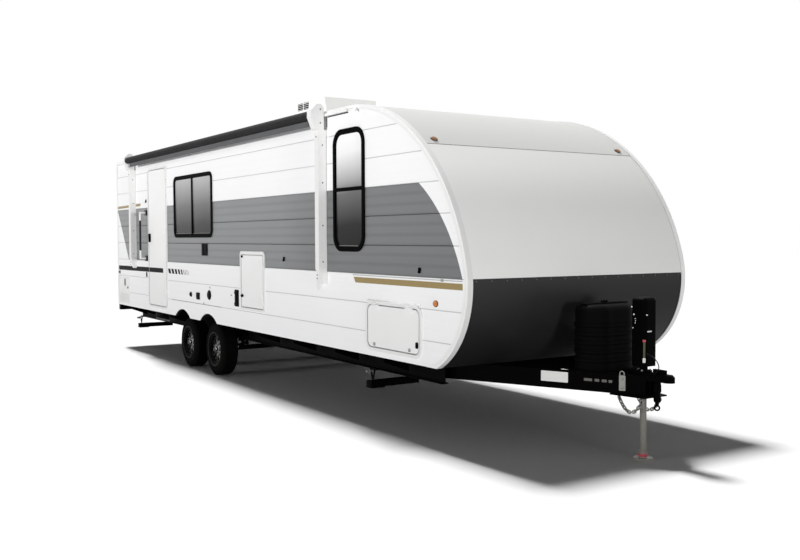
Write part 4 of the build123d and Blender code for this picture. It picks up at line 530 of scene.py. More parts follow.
# --- Corner mouldings and gutters ---
# Extruded aluminium angles, painted white, cover every corner where a side wall meets the rear,
# the roof or the cap. A soft vinyl insert is pressed into each one's channel over its screws.
# The roof gutters are the same metal, and each one ends in a small drip spout.
SIDES = ((-1, "right"), (1, "left"))
INSERT_INSET = 22.0  # mm from the body's edge to the insert's middle
INSERT_HALF = 7.0
INSERT_PROUD = 1.6
INSERT_SECTION = ((0.0, 0.0), (0.12, 0.75), (0.35, 1.0), (0.65, 1.0), (0.88, 0.75), (1.0, 0.0),
                  (0.5, -0.6))  # shares of its width and of its rise
MOULDING_FACE = 1224.0
REAR_ROUND = 60.0
WALL_FACE = 1219.0
GUTTER_STATIONS = range(7555, 7716, 20)
GUTTER_DROP = 22.0  # from the brow to the gutter's head
GUTTER_SECTION = ((1219, 0), (1246, 0), (1246, 6), (1226, 8), (1226, 26), (1219, 26))
SPOUT = ((0, 0.012), (0.7, 0.012), (0.75, 0.015), (1.0, 0.015), (1.0, 0.011), (0.85, 0.009))
# Painted shadow: strips (rear, low, front, high) under the gutter and beside the awning's arm.
GUTTER_SHADOW_RUNS = ((7160, 2880, 7556, 2891), (7136, 2790, 7146, 2891))


def body_line(inset):
    """Stations and heights round the body's side from the rear sill to the nose's end."""
    line = [(inset, BODY_LOW)]
    for degrees in range(0, 91, 15):
        turn = radians(degrees)
        reach = REAR_ROUND - inset
        line.append((REAR_ROUND - reach * cos(turn), BODY_TOP - REAR_ROUND + reach * sin(turn)))
    line += [(BROW[0] * share / 6, BODY_TOP - inset) for share in range(1, 6)]
    for x, z, radius, first, last in ((*BROW, 0, BROW_TURN), (*NOSE, BROW_TURN, NOSE_END)):
        for step in range(25):
            turn = first + (last - first) * step / 24
            line.append((x + (radius - inset) * sin(turn), z + (radius - inset) * cos(turn)))
    return line


def rounded(rear, low, front, high, radius, inset=0.0, steps=6):
    """Places (station, height) round a rectangle with round corners, drawn in by an inset."""
    rear, low, front, high = rear + inset, low + inset, front - inset, high - inset
    reach = max(radius - inset, 0.5)
    return [(x + reach * cos(radians(first + 90 * step / steps)),
             z + reach * sin(radians(first + 90 * step / steps)))
            for x, z, first in ((front - reach, low + reach, -90), (front - reach, high - reach, 0),
                                (rear + reach, high - reach, 90), (rear + reach, low + reach, 180))
            for step in range(steps + 1)]


def on_side(x, z, y):
    return spot(x, y, z)


def add_plate(work, box, radius, levels, put=on_side, which=0, steps=6, loop=False):
    """Adds a rounded shape through (level, inset) pairs, put in place by (a, b, level)."""
    add_loft(work, [[put(a, b, level) for a, b in rounded(*box, radius, inset, steps)]
                    for level, inset in levels], which, loop)


def add_pad(work, box, radius, near, far, ease, which=0, put=on_side):
    """Adds a rounded plate between two planes in mm, with its far edge eased."""
    out = ease if far > near else -ease
    add_plate(work, box, radius, ((near, 0), (far - out, 0), (far - out * 0.3, ease * 0.3),
                                  (far, ease)), put, which)


def add_pads(work, side, *pads, face=WALL_FACE):
    """Adds plates of (box, radius, near, far, ease) on a side's face."""
    for box, radius, near, far, ease in pads:
        add_pad(work, box, radius, side * (face + near), side * (face + far), ease)


# Painted extrusion: white, a little softer than the siding's coat.
moulding_enamel = surface("moulding_enamel", "#F2F2F1", "#EAEAE9", 0.42, 40.0, 0.08, coat=0.1)
dress(moulding_enamel, "corner_mouldings", "roof_gutters")
# Vinyl insert: pale grey-white, dull and slightly wavy.
insert_vinyl = surface("insert_vinyl", "#ECECEA", "#E4E4E2", 0.6, 30.0, 0.2)
for side, side_name in SIDES:
    work = bmesh.new()
    edges = zip(body_line(INSERT_INSET + INSERT_HALF), body_line(INSERT_INSET - INSERT_HALF))
    add_loft(work, [[spot(x1 + (x2 - x1) * share, side * (MOULDING_FACE + INSERT_PROUD * rise),
                          z1 + (z2 - z1) * share) for share, rise in INSERT_SECTION]
                    for (x1, z1), (x2, z2) in edges])
    new_piece("moulding_insert_" + side_name, work, [insert_vinyl])
work = bmesh.new()
gutter_shadow_work = bmesh.new()
for side in (-1, 1):
    rings = []
    for station in GUTTER_STATIONS:
        height = BROW[1] + sqrt(BROW[2] ** 2 - max(station - BROW[0], 0) ** 2) - GUTTER_DROP
        rings.append([spot(station, side * y, height - drop) for y, drop in GUTTER_SECTION])
    add_loft(work, rings)
    add_turning(work, spot(7700, side * 1232, 2906), spot(7748, side * 1258, 2880), SPOUT, 12)
    add_pads(gutter_shadow_work, side, *[(strip, 3, -1, 4, 1) for strip in GUTTER_SHADOW_RUNS])
new_piece("gutter_spouts", work, [moulding_enamel])
# Painted shadow: dark grey strips laid under the gutter and down beside the awning's arm, where
# shade falls.
butyl_sealant = surface("butyl_sealant", "#3C3C3B", "#484846", 0.7, 5.0, 0.2)
new_piece("gutter_sealant", gutter_shadow_work, [butyl_sealant])


# --- Windows ---
# Tinted safety glass sits in black-anodised aluminium frames, clamped through the wall. A rubber
# glazing bead runs round each pane, and two weep slots drain each frame's sill.
BEAD = 9.0
FLANGE = 42.0
BAR = 34.0  # width of the upright bar between two panes
WINDOWS = (  # rear, sill, front, head, corner, side, paired
    (2739, 1741, 4146, 2561, 95, -1, True),
    (7274, 1603, 7852, 2741, 150, -1, False),
    (1450, 1741, 2250, 2341, 95, 1, False),
    (4500, 1741, 5907, 2561, 95, 1, True),
    (7274, 1603, 7852, 2741, 150, 1, False),
)
GLASS_AHEAD = 6.6  # the tall panes are ahead of this, from the rear
GLASS_REFLECTION_SHADES = (  # sill, head, and the painted reflection's shades between them
    (1.741, 2.561, ((0, "#0C0C0C"), (0.2, "#303030"), (0.5, "#6C6C6C"), (0.8, "#A4A4A4"),
                    (1, "#BEBEBE"))),
    (1.603, 2.741, ((0, "#0A0A0A"), (0.2, "#1E1E1E"), (0.48, "#6A6A6A"), (0.53, "#8E8E8E"),
                    (0.8, "#F2F2F2"), (1, "#FFFFFF"))),
)


def add_hoop(work, box, radius, width, near, far, put=on_side):
    """Adds a rounded frame of the given width, inside a box, between two planes in mm."""
    edge = far * 0.7 + near * 0.3
    add_plate(work, box, radius, ((near, 0), (edge, 0), (far, width * 0.25), (far, width * 0.75),
                                  (edge, width), (near, width)), put, loop=True)


def glazing(name):
    """Tinted glass with a painted reflection: paler toward its head, as if it mirrored the sky, and
    near black at its sill.
    """
    finish = Finish(name)
    x, _, z = finish.axes()
    drift = finish.cloud(700.0, 1.0)
    painted_reflections = []
    for low, high, stops in GLASS_REFLECTION_SHADES:
        share = finish.spread(z, low + GROUND, high + GROUND)
        wander = finish.maths("SUBTRACT", finish.maths("MULTIPLY_ADD", drift, 0.12, share), 0.06)
        ramp = finish.node("ValToRGB", {0: wander})
        points = ramp.color_ramp.elements
        while len(points) < len(stops):
            points.new(0.5)
        for point, (position, colour) in zip(points, stops):
            point.position = position
            point.color = linear(colour)
        painted_reflections.append(ramp.outputs[0])
    ahead = finish.maths("GREATER_THAN", x, REAR_WALL + GLASS_AHEAD)
    finish.set(Base_Color=finish.mix(ahead, *painted_reflections), Roughness=0.15, Specular_IOR_Level=0.1)
    return finish


dress(glazing("tinted_glass"), "window_panes")
# Black anodising: near-black metal with a fine drawn grain.
black_anodised = surface("black_anodised", "#020202", "#060606", 0.45, 1.5, 0.02, gloss=0.01)
dress(black_anodised, "window_frames")
# Glazing rubber: soft black.
bead_rubber = surface("bead_rubber", "#101010", "#181818", 0.55, 4.0, 0.1, gloss=0.05)
# Dusty rubber: the bead's lower lip, greyed by dried rain.
bead_dust = surface("bead_dust", "#8A8A89", "#747473", 0.7, 9.0, 0.1)
work = bmesh.new()
slots = bmesh.new()
for rear, low, front, high, corner, side, paired in WINDOWS:
    opening = (rear + FLANGE, low + FLANGE, front - FLANGE, high - FLANGE)
    middle = (rear + front) / 2
    sills = [(opening[0], opening[2])]
    if paired:
        sills = [(opening[0], middle - BAR / 2), (middle + BAR / 2, opening[2])]
    add_hoop(work, opening, corner - FLANGE, BEAD, side * (WALL_FACE - 1), side * (WALL_FACE + 3))
    for sill_rear, sill_front in sills:
        add_pad(work, (sill_rear + 10, opening[1] + 9, sill_front - 10, opening[1] + 16), 3,
                side * (WALL_FACE - 1), side * (WALL_FACE + 4), 1.5, 1)
    for share in (0.25, 0.75):
        x = rear + (front - rear) * share
        add_pads(slots, side, ((x - 14, low + 12, x + 14, low + 17), 2.4, 13, 15, 0.6))
new_piece("glazing_beads", work, [bead_rubber, bead_dust])
new_piece("window_weep_slots", slots, [bead_rubber])


# --- Chassis ---
# Rolled and folded steel members, welded up and painted black. The springs are flat leaves held
# to the axle tubes by zinc-plated U-bolts. A black fibre board closes the body's underside, and
# the moulded wheel wells are bare black plastic.
VINYL_PLANK = 0.15  # a plank's width across the floor
VINYL_JOINT = 0.0015
FLOOR_SKIN = 0.001  # depth of the vinyl, below the floor's top
AXLES = (("rear", 3012.0), ("front", 3952.0))  # station of each axle, mm
AXLE_HEIGHT = 331.0
SPRING_Y = 870.0
BOLT_RADIUS = 0.006
BOLT_NUT = 0.011
BOLT_LEG = ((0, BOLT_RADIUS), (0.06, BOLT_RADIUS), (0.06, BOLT_NUT), (0.15, BOLT_NUT),
            (0.15, BOLT_RADIUS), (1, BOLT_RADIUS))
BOLT_CROWN = ((0, 0.004), (0.06, BOLT_RADIUS), (0.94, BOLT_RADIUS), (1, 0.004))
BOLT_APART = (42, 28)  # half the legs' spacing, along and across
BOLT_HEIGHTS = (4, 128)  # a leg's foot and head, above the axle
CROWN_HALF = 34
CROWN_HEIGHT = 124
# Chassis paint: black, satin, with a slight orange peel.
chassis_paint = surface("chassis_paint", "#030303", "#070707", 0.5, 9.0, 0.12, gloss=0.02)
dress(chassis_paint, "main_rails", "cross_members", "outriggers", "a_frame", "a_frame_gusset",
      "axles", "leaf_springs", "spring_hangers", "rear_bumper", "gas_bottle_tray",
      "stabiliser_frames", "stabiliser_leg_front_left", "stabiliser_leg_front_right",
      "stabiliser_leg_rear_left", "stabiliser_leg_rear_right", "entry_step_frame", "coupler",
      "jack_tube")


def floor_finish(name):
    """Fibre board, matt black; on top, vinyl planks in grey-brown woodgrain with dark joints."""
    board = surface(name, "#080808", "#0F0F0F", 0.8, 14.0, 0.3, gloss=0.1)
    _, y, z = board.axes()
    along = board.put("Mapping", {"Vector": board.place, "Scale": (2.0, 40.0, 1.0)})
    grain = board.put("TexNoise", {"Vector": along, "Detail": 4.0})
    row = board.maths("SNAP", y, VINYL_PLANK)
    tone = board.put("TexWhiteNoise", {"W": row}, noise_dimensions="1D")
    vinyl = board.mix(tone, board.mix(grain, "#8E7B69", "#5F4E40"), "#7A6857")
    joint = board.maths("LESS_THAN", board.maths("PINGPONG", y, VINYL_PLANK / 2), VINYL_JOINT)
    on_top = board.maths("GREATER_THAN", z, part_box("floor")[1][2] - FLOOR_SKIN)
    board.set(Base_Color=board.mix(on_top, board.colour(), board.mix(joint, vinyl, "#2B231D")))
    return board


dress(floor_finish("underbelly_board"), "floor")
# Moulded well: black plastic with a coarse grain.
dress(surface("well_plastic", "#060606", "#0C0C0C", 0.65, 6.0, 0.3, gloss=0.1), "wheel_wells")
# Zinc plating: light grey metal, mottled and softly bright.
zinc_plate = surface("zinc_plate", "#B9B8B2", "#9B9A95", 0.38, 5.0, 0.04, metallic=0.85)
work = bmesh.new()
for _, axle in AXLES:
    for side in (-1, 1):
        y = side * SPRING_Y
        for station in (axle - BOLT_APART[0], axle + BOLT_APART[0]):
            for across in (-BOLT_APART[1], BOLT_APART[1]):
                add_turning(work, *[spot(station, y + across, AXLE_HEIGHT + height)
                                    for height in BOLT_HEIGHTS], BOLT_LEG, 6)
            add_turning(work, *[spot(station, y + across, AXLE_HEIGHT + CROWN_HEIGHT)
                                for across in (-CROWN_HALF, CROWN_HALF)], BOLT_CROWN, 8)
new_piece("spring_u_bolts", work, [zinc_plate])


# --- Wheels and tyres ---
# Four radial trailer tyres on black-painted wheels with machined faces. A tyre is moulded rubber
# with five rows of tread blocks, cut by grooves, and raised rings on its sidewalls. Six plated
# nuts hold a wheel, a chromed cap closes its hub, and small plated rivets run round its rim.
WHEEL_Y = 1040.0
TYRE_RADIUS = 0.331
TREAD_DEPTH = 0.007
TREAD_SUNK = 0.62  # share of a block's depth that stands in the casing
TREAD_ROWS = ((-0.064, 0.028, 0.5), (-0.034, 0.022, 0.0), (-0.008, 0.022, 0.5),
              (0.018, 0.022, 0.0), (0.048, 0.028, 0.5))  # offset, width and phase
TREAD_BLOCKS = 56
BLOCK_FILL = 0.82  # a block's share of its pitch
TYRE_PROFILE = (  # radius and half width, mm, from tread to bead
    (324, 56.5), (323, 70), (319, 78), (308, 88), (296, 95), (283, 100), (272, 102.4), (262, 101),
    (259, 102.4), (255, 102.4), (252, 100.6), (236, 100.2), (228, 101), (220, 102.5), (212, 102.5),
    (206, 97), (198, 93), (188, 90), (180, 86), (178, 80.5))
BEAD_SEAT = ((186, -70), (186, 70))
LIP_SECTION = (  # radius and reach, mm, round the rim's lip
    (172, 75), (174, 84), (181, 90.5), (190, 94.5), (200, 98.5), (207, 102.5), (211, 105),
    (215.5, 104.5), (216, 102.5), (206, 96), (198, 92), (188, 89), (180, 85), (177, 79), (175, 75))
EDGE_SECTION = ((208, 104.2), (210.5, 106.2), (213, 105.2), (212, 103))  # machined ring on it
HUB_CAP = ((0, 0.040), (0.16, 0.040), (0.2, 0.0362), (0.82, 0.0355), (0.93, 0.032), (1.0, 0.024),
           (1.0, 0.011), (0.96, 0.0095))
HUB_CAP_ENDS = (0.050, 0.1028)
SPOKES = 8
SPOKE_SECTIONS = ((90, 2.0), (94, 5.0), (160, 5.0), (166, 2.0))  # radius and rise, mm
SPOKE_HALF = 4.5
SPOKE_START = (90, 7, 0.14)  # radius, offset to a side and how it widens
DISC_REACH = 52.0  # the disc's face at the hub, from the middle plane
DISC_SLOPE = 12.0 / 95.0
HUB_RADIUS = 76.0
FASTENER_REACH = 0.0535
FASTENERS = (("wheel_nuts_", 6, 0.06985, 0.0155), ("rim_rivets_", 16, 0.1555, 0.006))
# Tyre rubber: charcoal, dull, dusted a little paler.
tyre_rubber = surface("tyre_rubber", "#070706", "#0E0E0D", 0.8, 7.0, 0.25, gloss=0.02)
# Wheel paint: gloss black powder coat.
wheel_paint = surface("wheel_paint", "#050505", "#090909", 0.3, 3.0, 0.04, coat=0.1, gloss=0.25)
# Lip paint: the same black, dulled by brake dust, and its edge worn to dark metal.
lip_paint = surface("lip_paint", "#040404", "#0A0A0A", 0.6, 6.0, 0.05, gloss=0.03)
worn_edge = surface("worn_edge", "#5C5C5A", "#323231", 0.5, 40.0, 0.05, metallic=0.6, gloss=0.1)
# Machined alloy: bright turned faces, a little softened by road dust.
machined_alloy = surface("machined_alloy", "#BFBFBD", "#A3A3A1", 0.3, 4.0, 0.03, metallic=0.9)
# Chrome: bright, clean metal with hair-fine swirls.
chrome = surface("chrome", "#E6E6E6", "#D2D2D4", 0.1, 2.0, 0.01, metallic=1.0)


def tread_tree():
    """Rows of staggered tread blocks round a tyre's casing, with gaps between them."""
    tree = Growth("tread_blocks", ("Middle", "Vector", (0.0, 0.0, 0.0)),
                  ("Blocks", "Int", TREAD_BLOCKS), ("Radius", "Float", TYRE_RADIUS))
    joined = tree.node("JoinGeometry", {0: tree.given[0]})
    sunk = tree.maths("SUBTRACT", tree.given["Radius"], TREAD_DEPTH * TREAD_SUNK)
    spoke = tree.put("VectorMath", {0: tree.put("InputPosition"), 1: (1.0, 0.0, 1.0)},
                     operation="MULTIPLY")
    facing = tree.put("AlignRotationToVector", {"Vector": spoke}, axis="Z", pivot_axis="Y")
    for offset, width, phase in TREAD_ROWS:
        upright = tree.put("Transform", {
            0: tree.put("MeshCircle", {"Vertices": tree.given["Blocks"], "Radius": sunk}),
            "Translation": (0.0, offset, 0.0),
            "Rotation": (pi / 2, phase * 2 * pi / TREAD_BLOCKS, 0.0)})
        block = tree.put("MeshCube", {
            "Size": (2 * pi * TYRE_RADIUS / TREAD_BLOCKS * BLOCK_FILL, width, TREAD_DEPTH)})
        copies = tree.put("InstanceOnPoints", {"Points": upright, "Instance": block,
                                               "Rotation": facing})
        tree.tree.links.new(copies, joined.inputs[0])
    return tree.end(tree.put("Transform", {0: joined.outputs[0],
                                           "Translation": tree.given["Middle"]}), tyre_rubber)


def casing_mesh(name):
    """A tyre's casing: the profile, both ways, turned about the axle."""
    work = bmesh.new()
    section = [(r, w) for r, w in reversed(TYRE_PROFILE)] + [(r, -w) for r, w in TYRE_PROFILE]
    section += BEAD_SEAT
    add_loft(work, [[(r / 1000 * c, w / 1000, r / 1000 * s) for r, w in section]
                    for c, s in turned(72)], loop=True)
    return finished(name, work)


def add_machined_faces(work, middle, side):
    """Adds a rim's painted lip, a machined ring on its edge and a pair of bars on each spoke."""
    for which, section in enumerate((LIP_SECTION, EDGE_SECTION)):
        add_loft(work, [[middle + Vector((r * c, side * reach, r * s)) / 1000
                         for r, reach in section] for c, s in turned(64)], which, loop=True)
    start, apart, widening = SPOKE_START
    for c, s in turned(SPOKES, 0.5):
        along = Vector((c, 0, s))
        across = Vector((-s, 0, c))
        for lean in (-1, 1):
            rings = []
            for r, rise in SPOKE_SECTIONS:
                face = DISC_REACH - (r - HUB_RADIUS) * DISC_SLOPE
                centre = along * r + across * lean * (apart + (r - start) * widening)
                corners = ((-SPOKE_HALF, face - 2), (-SPOKE_HALF, face + rise),
                           (SPOKE_HALF, face + rise), (SPOKE_HALF, face - 2))
                rings.append([middle + (centre + across * offset + Vector((0, side * reach, 0)))
                              / 1000 for offset, reach in corners])
            add_loft(work, rings, 2)


blocks = tread_tree()
plated_screws = screw_tree(zinc_plate)
for axle, station in AXLES:
    for side, side_name in SIDES:
        place = f"{axle}_{side_name}"
        wheel = "wheel_" + place
        middle = spot(station, side * WHEEL_Y, AXLE_HEIGHT)
        tyre = grow("tyre_treaded_" + place, casing_mesh("casing_" + place), blocks, "tyre", wheel,
                    Middle=middle)
        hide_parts("tyre_" + place)
        dress(wheel_paint, "rim_" + place)
        work = bmesh.new()
        root, tip = [middle + Vector((0, side * reach, 0)) for reach in HUB_CAP_ENDS]
        add_turning(work, root, tip, HUB_CAP, 32)
        new_piece("hub_cap_" + place, work, [chrome], wheel)
        work = bmesh.new()
        add_machined_faces(work, middle, side)
        new_piece("rim_faces_" + place, work, [lip_paint, worn_edge, machined_alloy],
                  wheel)
        for name, count, circle, size in FASTENERS:
            places = [middle + Vector((circle * c, side * FASTENER_REACH, circle * s))
                      for c, s in turned(count, 0.5)]
            add_screws(name + place, places, plated_screws, "zinc", size, (0, side, 0), wheel)


# --- Stabilisers and entry step ---
# Each stabiliser is a pressed steel leg, wound down by a screw behind its outer bracket, whose
# plated drive nut shows at the side. The step is pressed aluminium with rows of raised treads on
# a black steel slide, its edge marked by a strip of grit tape.
STABILISER_STATIONS = (150.0, 7440.0)
DRIVE_HEIGHT = 452
DRIVE_REACH = (906, 972)  # its root and tip, from the middle
DRIVE_NUT = ((0, 0.008), (0.35, 0.008), (0.35, 0.021), (0.5, 0.021), (0.5, 0.013), (0.95, 0.013),
             (1.0, 0.010))
work = bmesh.new()
for station in STABILISER_STATIONS:
    for side in (-1, 1):
        add_turning(work, *[spot(station, side * reach, DRIVE_HEIGHT) for reach in DRIVE_REACH],
                    DRIVE_NUT, 6)
new_piece("stabiliser_drive_nuts", work, [zinc_plate])
# Step aluminium: dull silver, brushed by shoes.
dress(surface("step_alloy", "#3A3A3A", "#2E2E2E", 0.5, 4.0, 0.1, metallic=0.3), "entry_step_tread")


# --- Gas bottle cover ---
# A rotomoulded black plastic shroud with ribs round it drops over two gas bottles. A flat steel
# bar lies across its crown and is drawn down by a wing nut on the bottles' threaded rod.
COVER_MIDDLE = 9608.0
COVER_CROWN = 1192.0
WING_BOSS = ((0, 0.022), (0.1, 0.022), (0.14, 0.012), (0.5, 0.012), (0.55, 0.006), (1, 0.006))
WING = ((0, 0.005), (0.3, 0.006), (0.7, 0.010), (0.9, 0.009), (1, 0.004))
# Rotomoulded plastic: black, pebbled, with a low sheen.
dress(surface("cover_plastic", "#040404", "#080808", 0.55, 2.5, 0.15, gloss=0.04),
      "gas_bottle_cover")
work = bmesh.new()
add_turning(work, spot(COVER_MIDDLE, 0, COVER_CROWN - 8), spot(COVER_MIDDLE, 0, COVER_CROWN + 30),
            WING_BOSS, 12)
for side in (-1, 1):
    add_turning(work, spot(COVER_MIDDLE, side * 8, COVER_CROWN + 4),
                spot(COVER_MIDDLE, side * 34, COVER_CROWN + 22), WING, 10)
new_piece("cover_wing_nut", work, [chassis_paint])


# --- Tongue fittings ---
# A zinc-plated chain bracket is bolted to the A-frame's outside with a spring hook at its head.
# The chains are welded links, plated. A blank foil label and small riveted tabs are fixed along
# the A-frame's side, and a forged latch with an eye hangs below the coupler.
FRAME_SLOPE = Vector((cos(radians(25)), sin(radians(25)), 0))  # along the right member's face
FRAME_OUT = Vector((FRAME_SLOPE.y, -FRAME_SLOPE.x, 0))
FRAME_REAR = Vector((-1.9082, -0.8665, 0.0))
LABEL = (-962, 560, -750, 644)  # rear, foot, front and head, mm from the ball
TABS = ((-628, -565), (-548, -512), (-494, -456), (-443, -416))  # rear and front
TAB_FOOT, TAB_HEAD = 588, 610
BRACKET = (-366, 534, -318, 655)
BRACKET_MIDDLE = -342
BRACKET_BOLT = ((0, 0.011), (0.25, 0.011), (0.25, 0.009), (0.9, 0.009), (1, 0.007))
BRACKET_BOLT_HEIGHTS = (560, 630)
HOOK_TURNS = range(-30, 211, 20)  # degrees round the hook, open at its foot
HOOK_HEIGHT = 668
HOOK_HALF = (16, 20)  # half its width and height
HOOK_OUT = 11
HOOK_WIRE = 0.0042
HANG = Vector((-0.112, 0.0, -0.012))  # where the latch hangs from
HANG_SPAN = (0.006, -0.190)  # its head and foot, from there
HANG_BODY = ((0, 0.014), (0.1, 0.026), (0.2, 0.030), (0.45, 0.031), (0.5, 0.024), (0.62, 0.022),
             (0.66, 0.029), (0.82, 0.027), (0.9, 0.016), (1.0, 0.012))
EYE_DROP = 0.208
EYE_RADIUS = 0.018
EYE_WIRE = 0.0065
EYE_ALONG = Vector((0.75, 0.66, 0))
EYE_ACROSS = Vector((0.66, -0.75, 0))
# Foil label: white, slightly crinkled, left blank.
foil_label = surface("foil_label", "#E9E9E7", "#DCDCDA", 0.35, 6.0, 0.05)
# Worn foil: dull grey tabs, rubbed by the road.
worn_foil = surface("worn_foil", "#6E6C69", "#565451", 0.5, 5.0, 0.05)


def on_frame(x, height, out):
    """A place on the A-frame's right outer face, from x, height and distance out in mm."""
    share = (x / 1000 - FRAME_REAR.x) / FRAME_SLOPE.x
    place = FRAME_REAR + FRAME_SLOPE * share + FRAME_OUT * (out / 1000)
    return Vector((place.x, place.y, GROUND + height / 1000))


def add_tab(work, box, out, which=0):
    """Adds a thin plate on the A-frame's side, with eased corners."""
    add_plate(work, box, 6, ((-0.4, 0), (out * 0.6, 0), (out, 1.2)), on_frame, which, 3)


dress(zinc_plate, "safety_chains")
work = bmesh.new()
add_tab(work, LABEL, 0.8)
new_piece("frame_label_blank", work, [foil_label])
work = bmesh.new()
for rear, front in TABS:
    add_tab(work, (rear, TAB_FOOT, front, TAB_HEAD), 1.2, 1)
add_tab(work, BRACKET, 6.0)
for height in BRACKET_BOLT_HEIGHTS:
    add_turning(work, on_frame(BRACKET_MIDDLE, height, 5), on_frame(BRACKET_MIDDLE, height, 17),
                BRACKET_BOLT, 6)
hook = [on_frame(BRACKET_MIDDLE + HOOK_HALF[0] * cos(radians(turn)),
                 HOOK_HEIGHT + HOOK_HALF[1] * sin(radians(turn)), HOOK_OUT)
        for turn in HOOK_TURNS]
for start, end in zip(hook[:-1], hook[1:]):
    add_turning(work, start, end + (end - start) * 0.12, ((0, HOOK_WIRE), (1, HOOK_WIRE)), 8)
new_piece("chain_bracket", work, [zinc_plate, worn_foil])
work = bmesh.new()
add_turning(work, *[HANG + Vector((0, 0, rise)) for rise in HANG_SPAN], HANG_BODY, 14)
add_loft(work, [[HANG + EYE_ALONG * ((EYE_RADIUS + EYE_WIRE * c) * cos_round)
                 + EYE_ACROSS * (EYE_WIRE * s)
                 + Vector((0, 0, -EYE_DROP + (EYE_RADIUS + EYE_WIRE * c) * sin_round))
                 for c, s in turned(10)] for cos_round, sin_round in turned(20)], loop=True)
new_piece("coupler_hang_hook", work, [chassis_paint])


# --- Tongue jack ---
# An electric screw jack: a moulded black housing over the motor, with a small row of switches
# and lamps on its right, a light bar and a bubble level at its front corner. The ram is plated
# steel tube, worn grey, with a red wear ring near its foot.
JACK_STATION = 10034.0
JACK_HALF = 73.0
CORNER_ROUND = 34.0
RAM_RING = ((0, 0.0345), (0.1, 0.0362), (0.9, 0.0362), (1, 0.0345))
RAM_RING_HEIGHTS = (20, 46)
SWITCHES = ((9975, 1189, 6), (9998, 1132, 6.5), (9990, 1026, 4.5), (10013, 1099, 4),
            (10015, 1082, 4), (10013, 1066, 4))  # station, height and radius
FRONT_BUTTON = ((0, 0.0065), (0.7, 0.0065), (1, 0.004))
FRONT_BUTTON_PLACE = (-46, 1132)  # y and height
LIGHT_BAR = (-42, 999, 6, 1009)
LEVEL_BLOCKS = (  # foot, head, half width and how far out
    (760, 948, 17, 3), (802, 922, 8, 6), (922, 942, 12, 7), (764, 802, 11, 7))
FLANGE_HEIGHT = 696.0
FLANGE_BOLT_CIRCLE = 53.0
FLANGE_BOLT_SIZE = 0.011
# Moulded housing: fine-grained black plastic.
housing_plastic = surface("housing_plastic", "#020202", "#050505", 0.46, 1.8, 0.1, gloss=0.02)
dress(housing_plastic, "jack_head")
# Worn plating: warm grey metal with long dull patches.
dress(surface("ram_plating", "#96938C", "#78756E", 0.42, 26.0, 0.05, metallic=0.4), "jack_ram")
# Red enamel: ring on the ram.
red_enamel = surface("red_enamel", "#B4525A", "#9C4048", 0.4, 5.0, 0.05)
# Level tube: yellow-green acrylic, and its white and red end caps.
level_acrylic = surface("level_acrylic", "#4A4A2C", "#3A3B22", 0.2, 8.0, 0.02, coat=0.5)
cap_white = surface("cap_white", "#E6E4DF", "#DAD8D2", 0.4, 5.0, 0.05)
work = bmesh.new()
add_turning(work, *[spot(JACK_STATION, 0, height) for height in RAM_RING_HEIGHTS], RAM_RING, 32)
new_piece("jack_ram_ring", work, [red_enamel], "jack_ram")
corner = spot(JACK_STATION + JACK_HALF - CORNER_ROUND, -(JACK_HALF - CORNER_ROUND), 0)
way = Vector((1, -1, 0)).normalized()
beside = Vector((1, 1, 0)).normalized()


def on_corner(a, z, reach):
    """A place on the housing's front right corner: along its face, up, and out, mm."""
    return corner + way * (reach / 1000) + beside * (a / 1000) + Vector((0, 0, z / 1000))


def on_front(y, z, out):
    """A place on the housing's front face."""
    return spot(JACK_STATION + JACK_HALF + out, y, z)


work = bmesh.new()
for which, (low, high, half, out) in enumerate(LEVEL_BLOCKS):
    add_plate(work, (-half, low, half, high), 5,
              ((CORNER_ROUND - 3, 0), (CORNER_ROUND + out * 0.7, 0), (CORNER_ROUND + out, 2)),
              on_corner, which, 3)
new_piece("jack_level", work, [housing_plastic, level_acrylic, red_enamel, cap_white])
work = bmesh.new()
start = on_front(*FRONT_BUTTON_PLACE, -6)
add_turning(work, start, start + Vector((0.009, 0, 0)), FRONT_BUTTON, 12)
for station, height, radius in SWITCHES:
    start = spot(station, -JACK_HALF + 3, height)
    add_turning(work, start, start + Vector((0, -0.006, 0)), (
        (0, radius / 1000), (0.7, radius / 1000), (1, radius * 0.6 / 1000)), 12)
add_plate(work, LIGHT_BAR, 4, ((-2, 0), (1.6, 0), (2.6, 1.2)), on_front, steps=3)
new_piece("jack_switches", work, [cap_white])
places = [spot(JACK_STATION + FLANGE_BOLT_CIRCLE * c, FLANGE_BOLT_CIRCLE * s, FLANGE_HEIGHT)
          for c, s in turned(3, 0.5)]
add_screws("jack_flange_bolts", places, plated_screws, "zinc", FLANGE_BOLT_SIZE, (0, 0, 1))


# --- Awning ---
# Two white extruded arms stand on the side wall with end brackets that carry the roller. Dark
# woven vinyl is rolled on it, and its last strip hangs as a valance. Small black pins and screws
# hold the arms together, and their channels show a slot at the foot.
ARM_STATIONS = (960.0, 7085.0)
ARM_FACE = 1307.0
ARM_SCREWS = (  # half spacing, depth and heights
    (39.0, 1262, (1500, 1850, 2260, 2620)),
    (0.0, ARM_FACE, (1340, 1372, 2700)),
    (45.0, 1285, (2830, 2960)))
ARM_SCREW_SIZE = 0.007
BASE_PLATE = (6922, 1222, 7014, 1415)
# Arm enamel: white powder coat on aluminium.
arm_enamel = surface("arm_enamel", "#EDEDEC", "#E3E3E2", 0.42, 30.0, 0.06)
dress(arm_enamel, "awning_arms")
# Woven vinyl: dark, ribbed along the roller by its winding.
dress(surface("awning_weave", "#2C2C2D", "#222223", 0.7, 60.0, 0.8, gloss=0.1), "awning_roller")
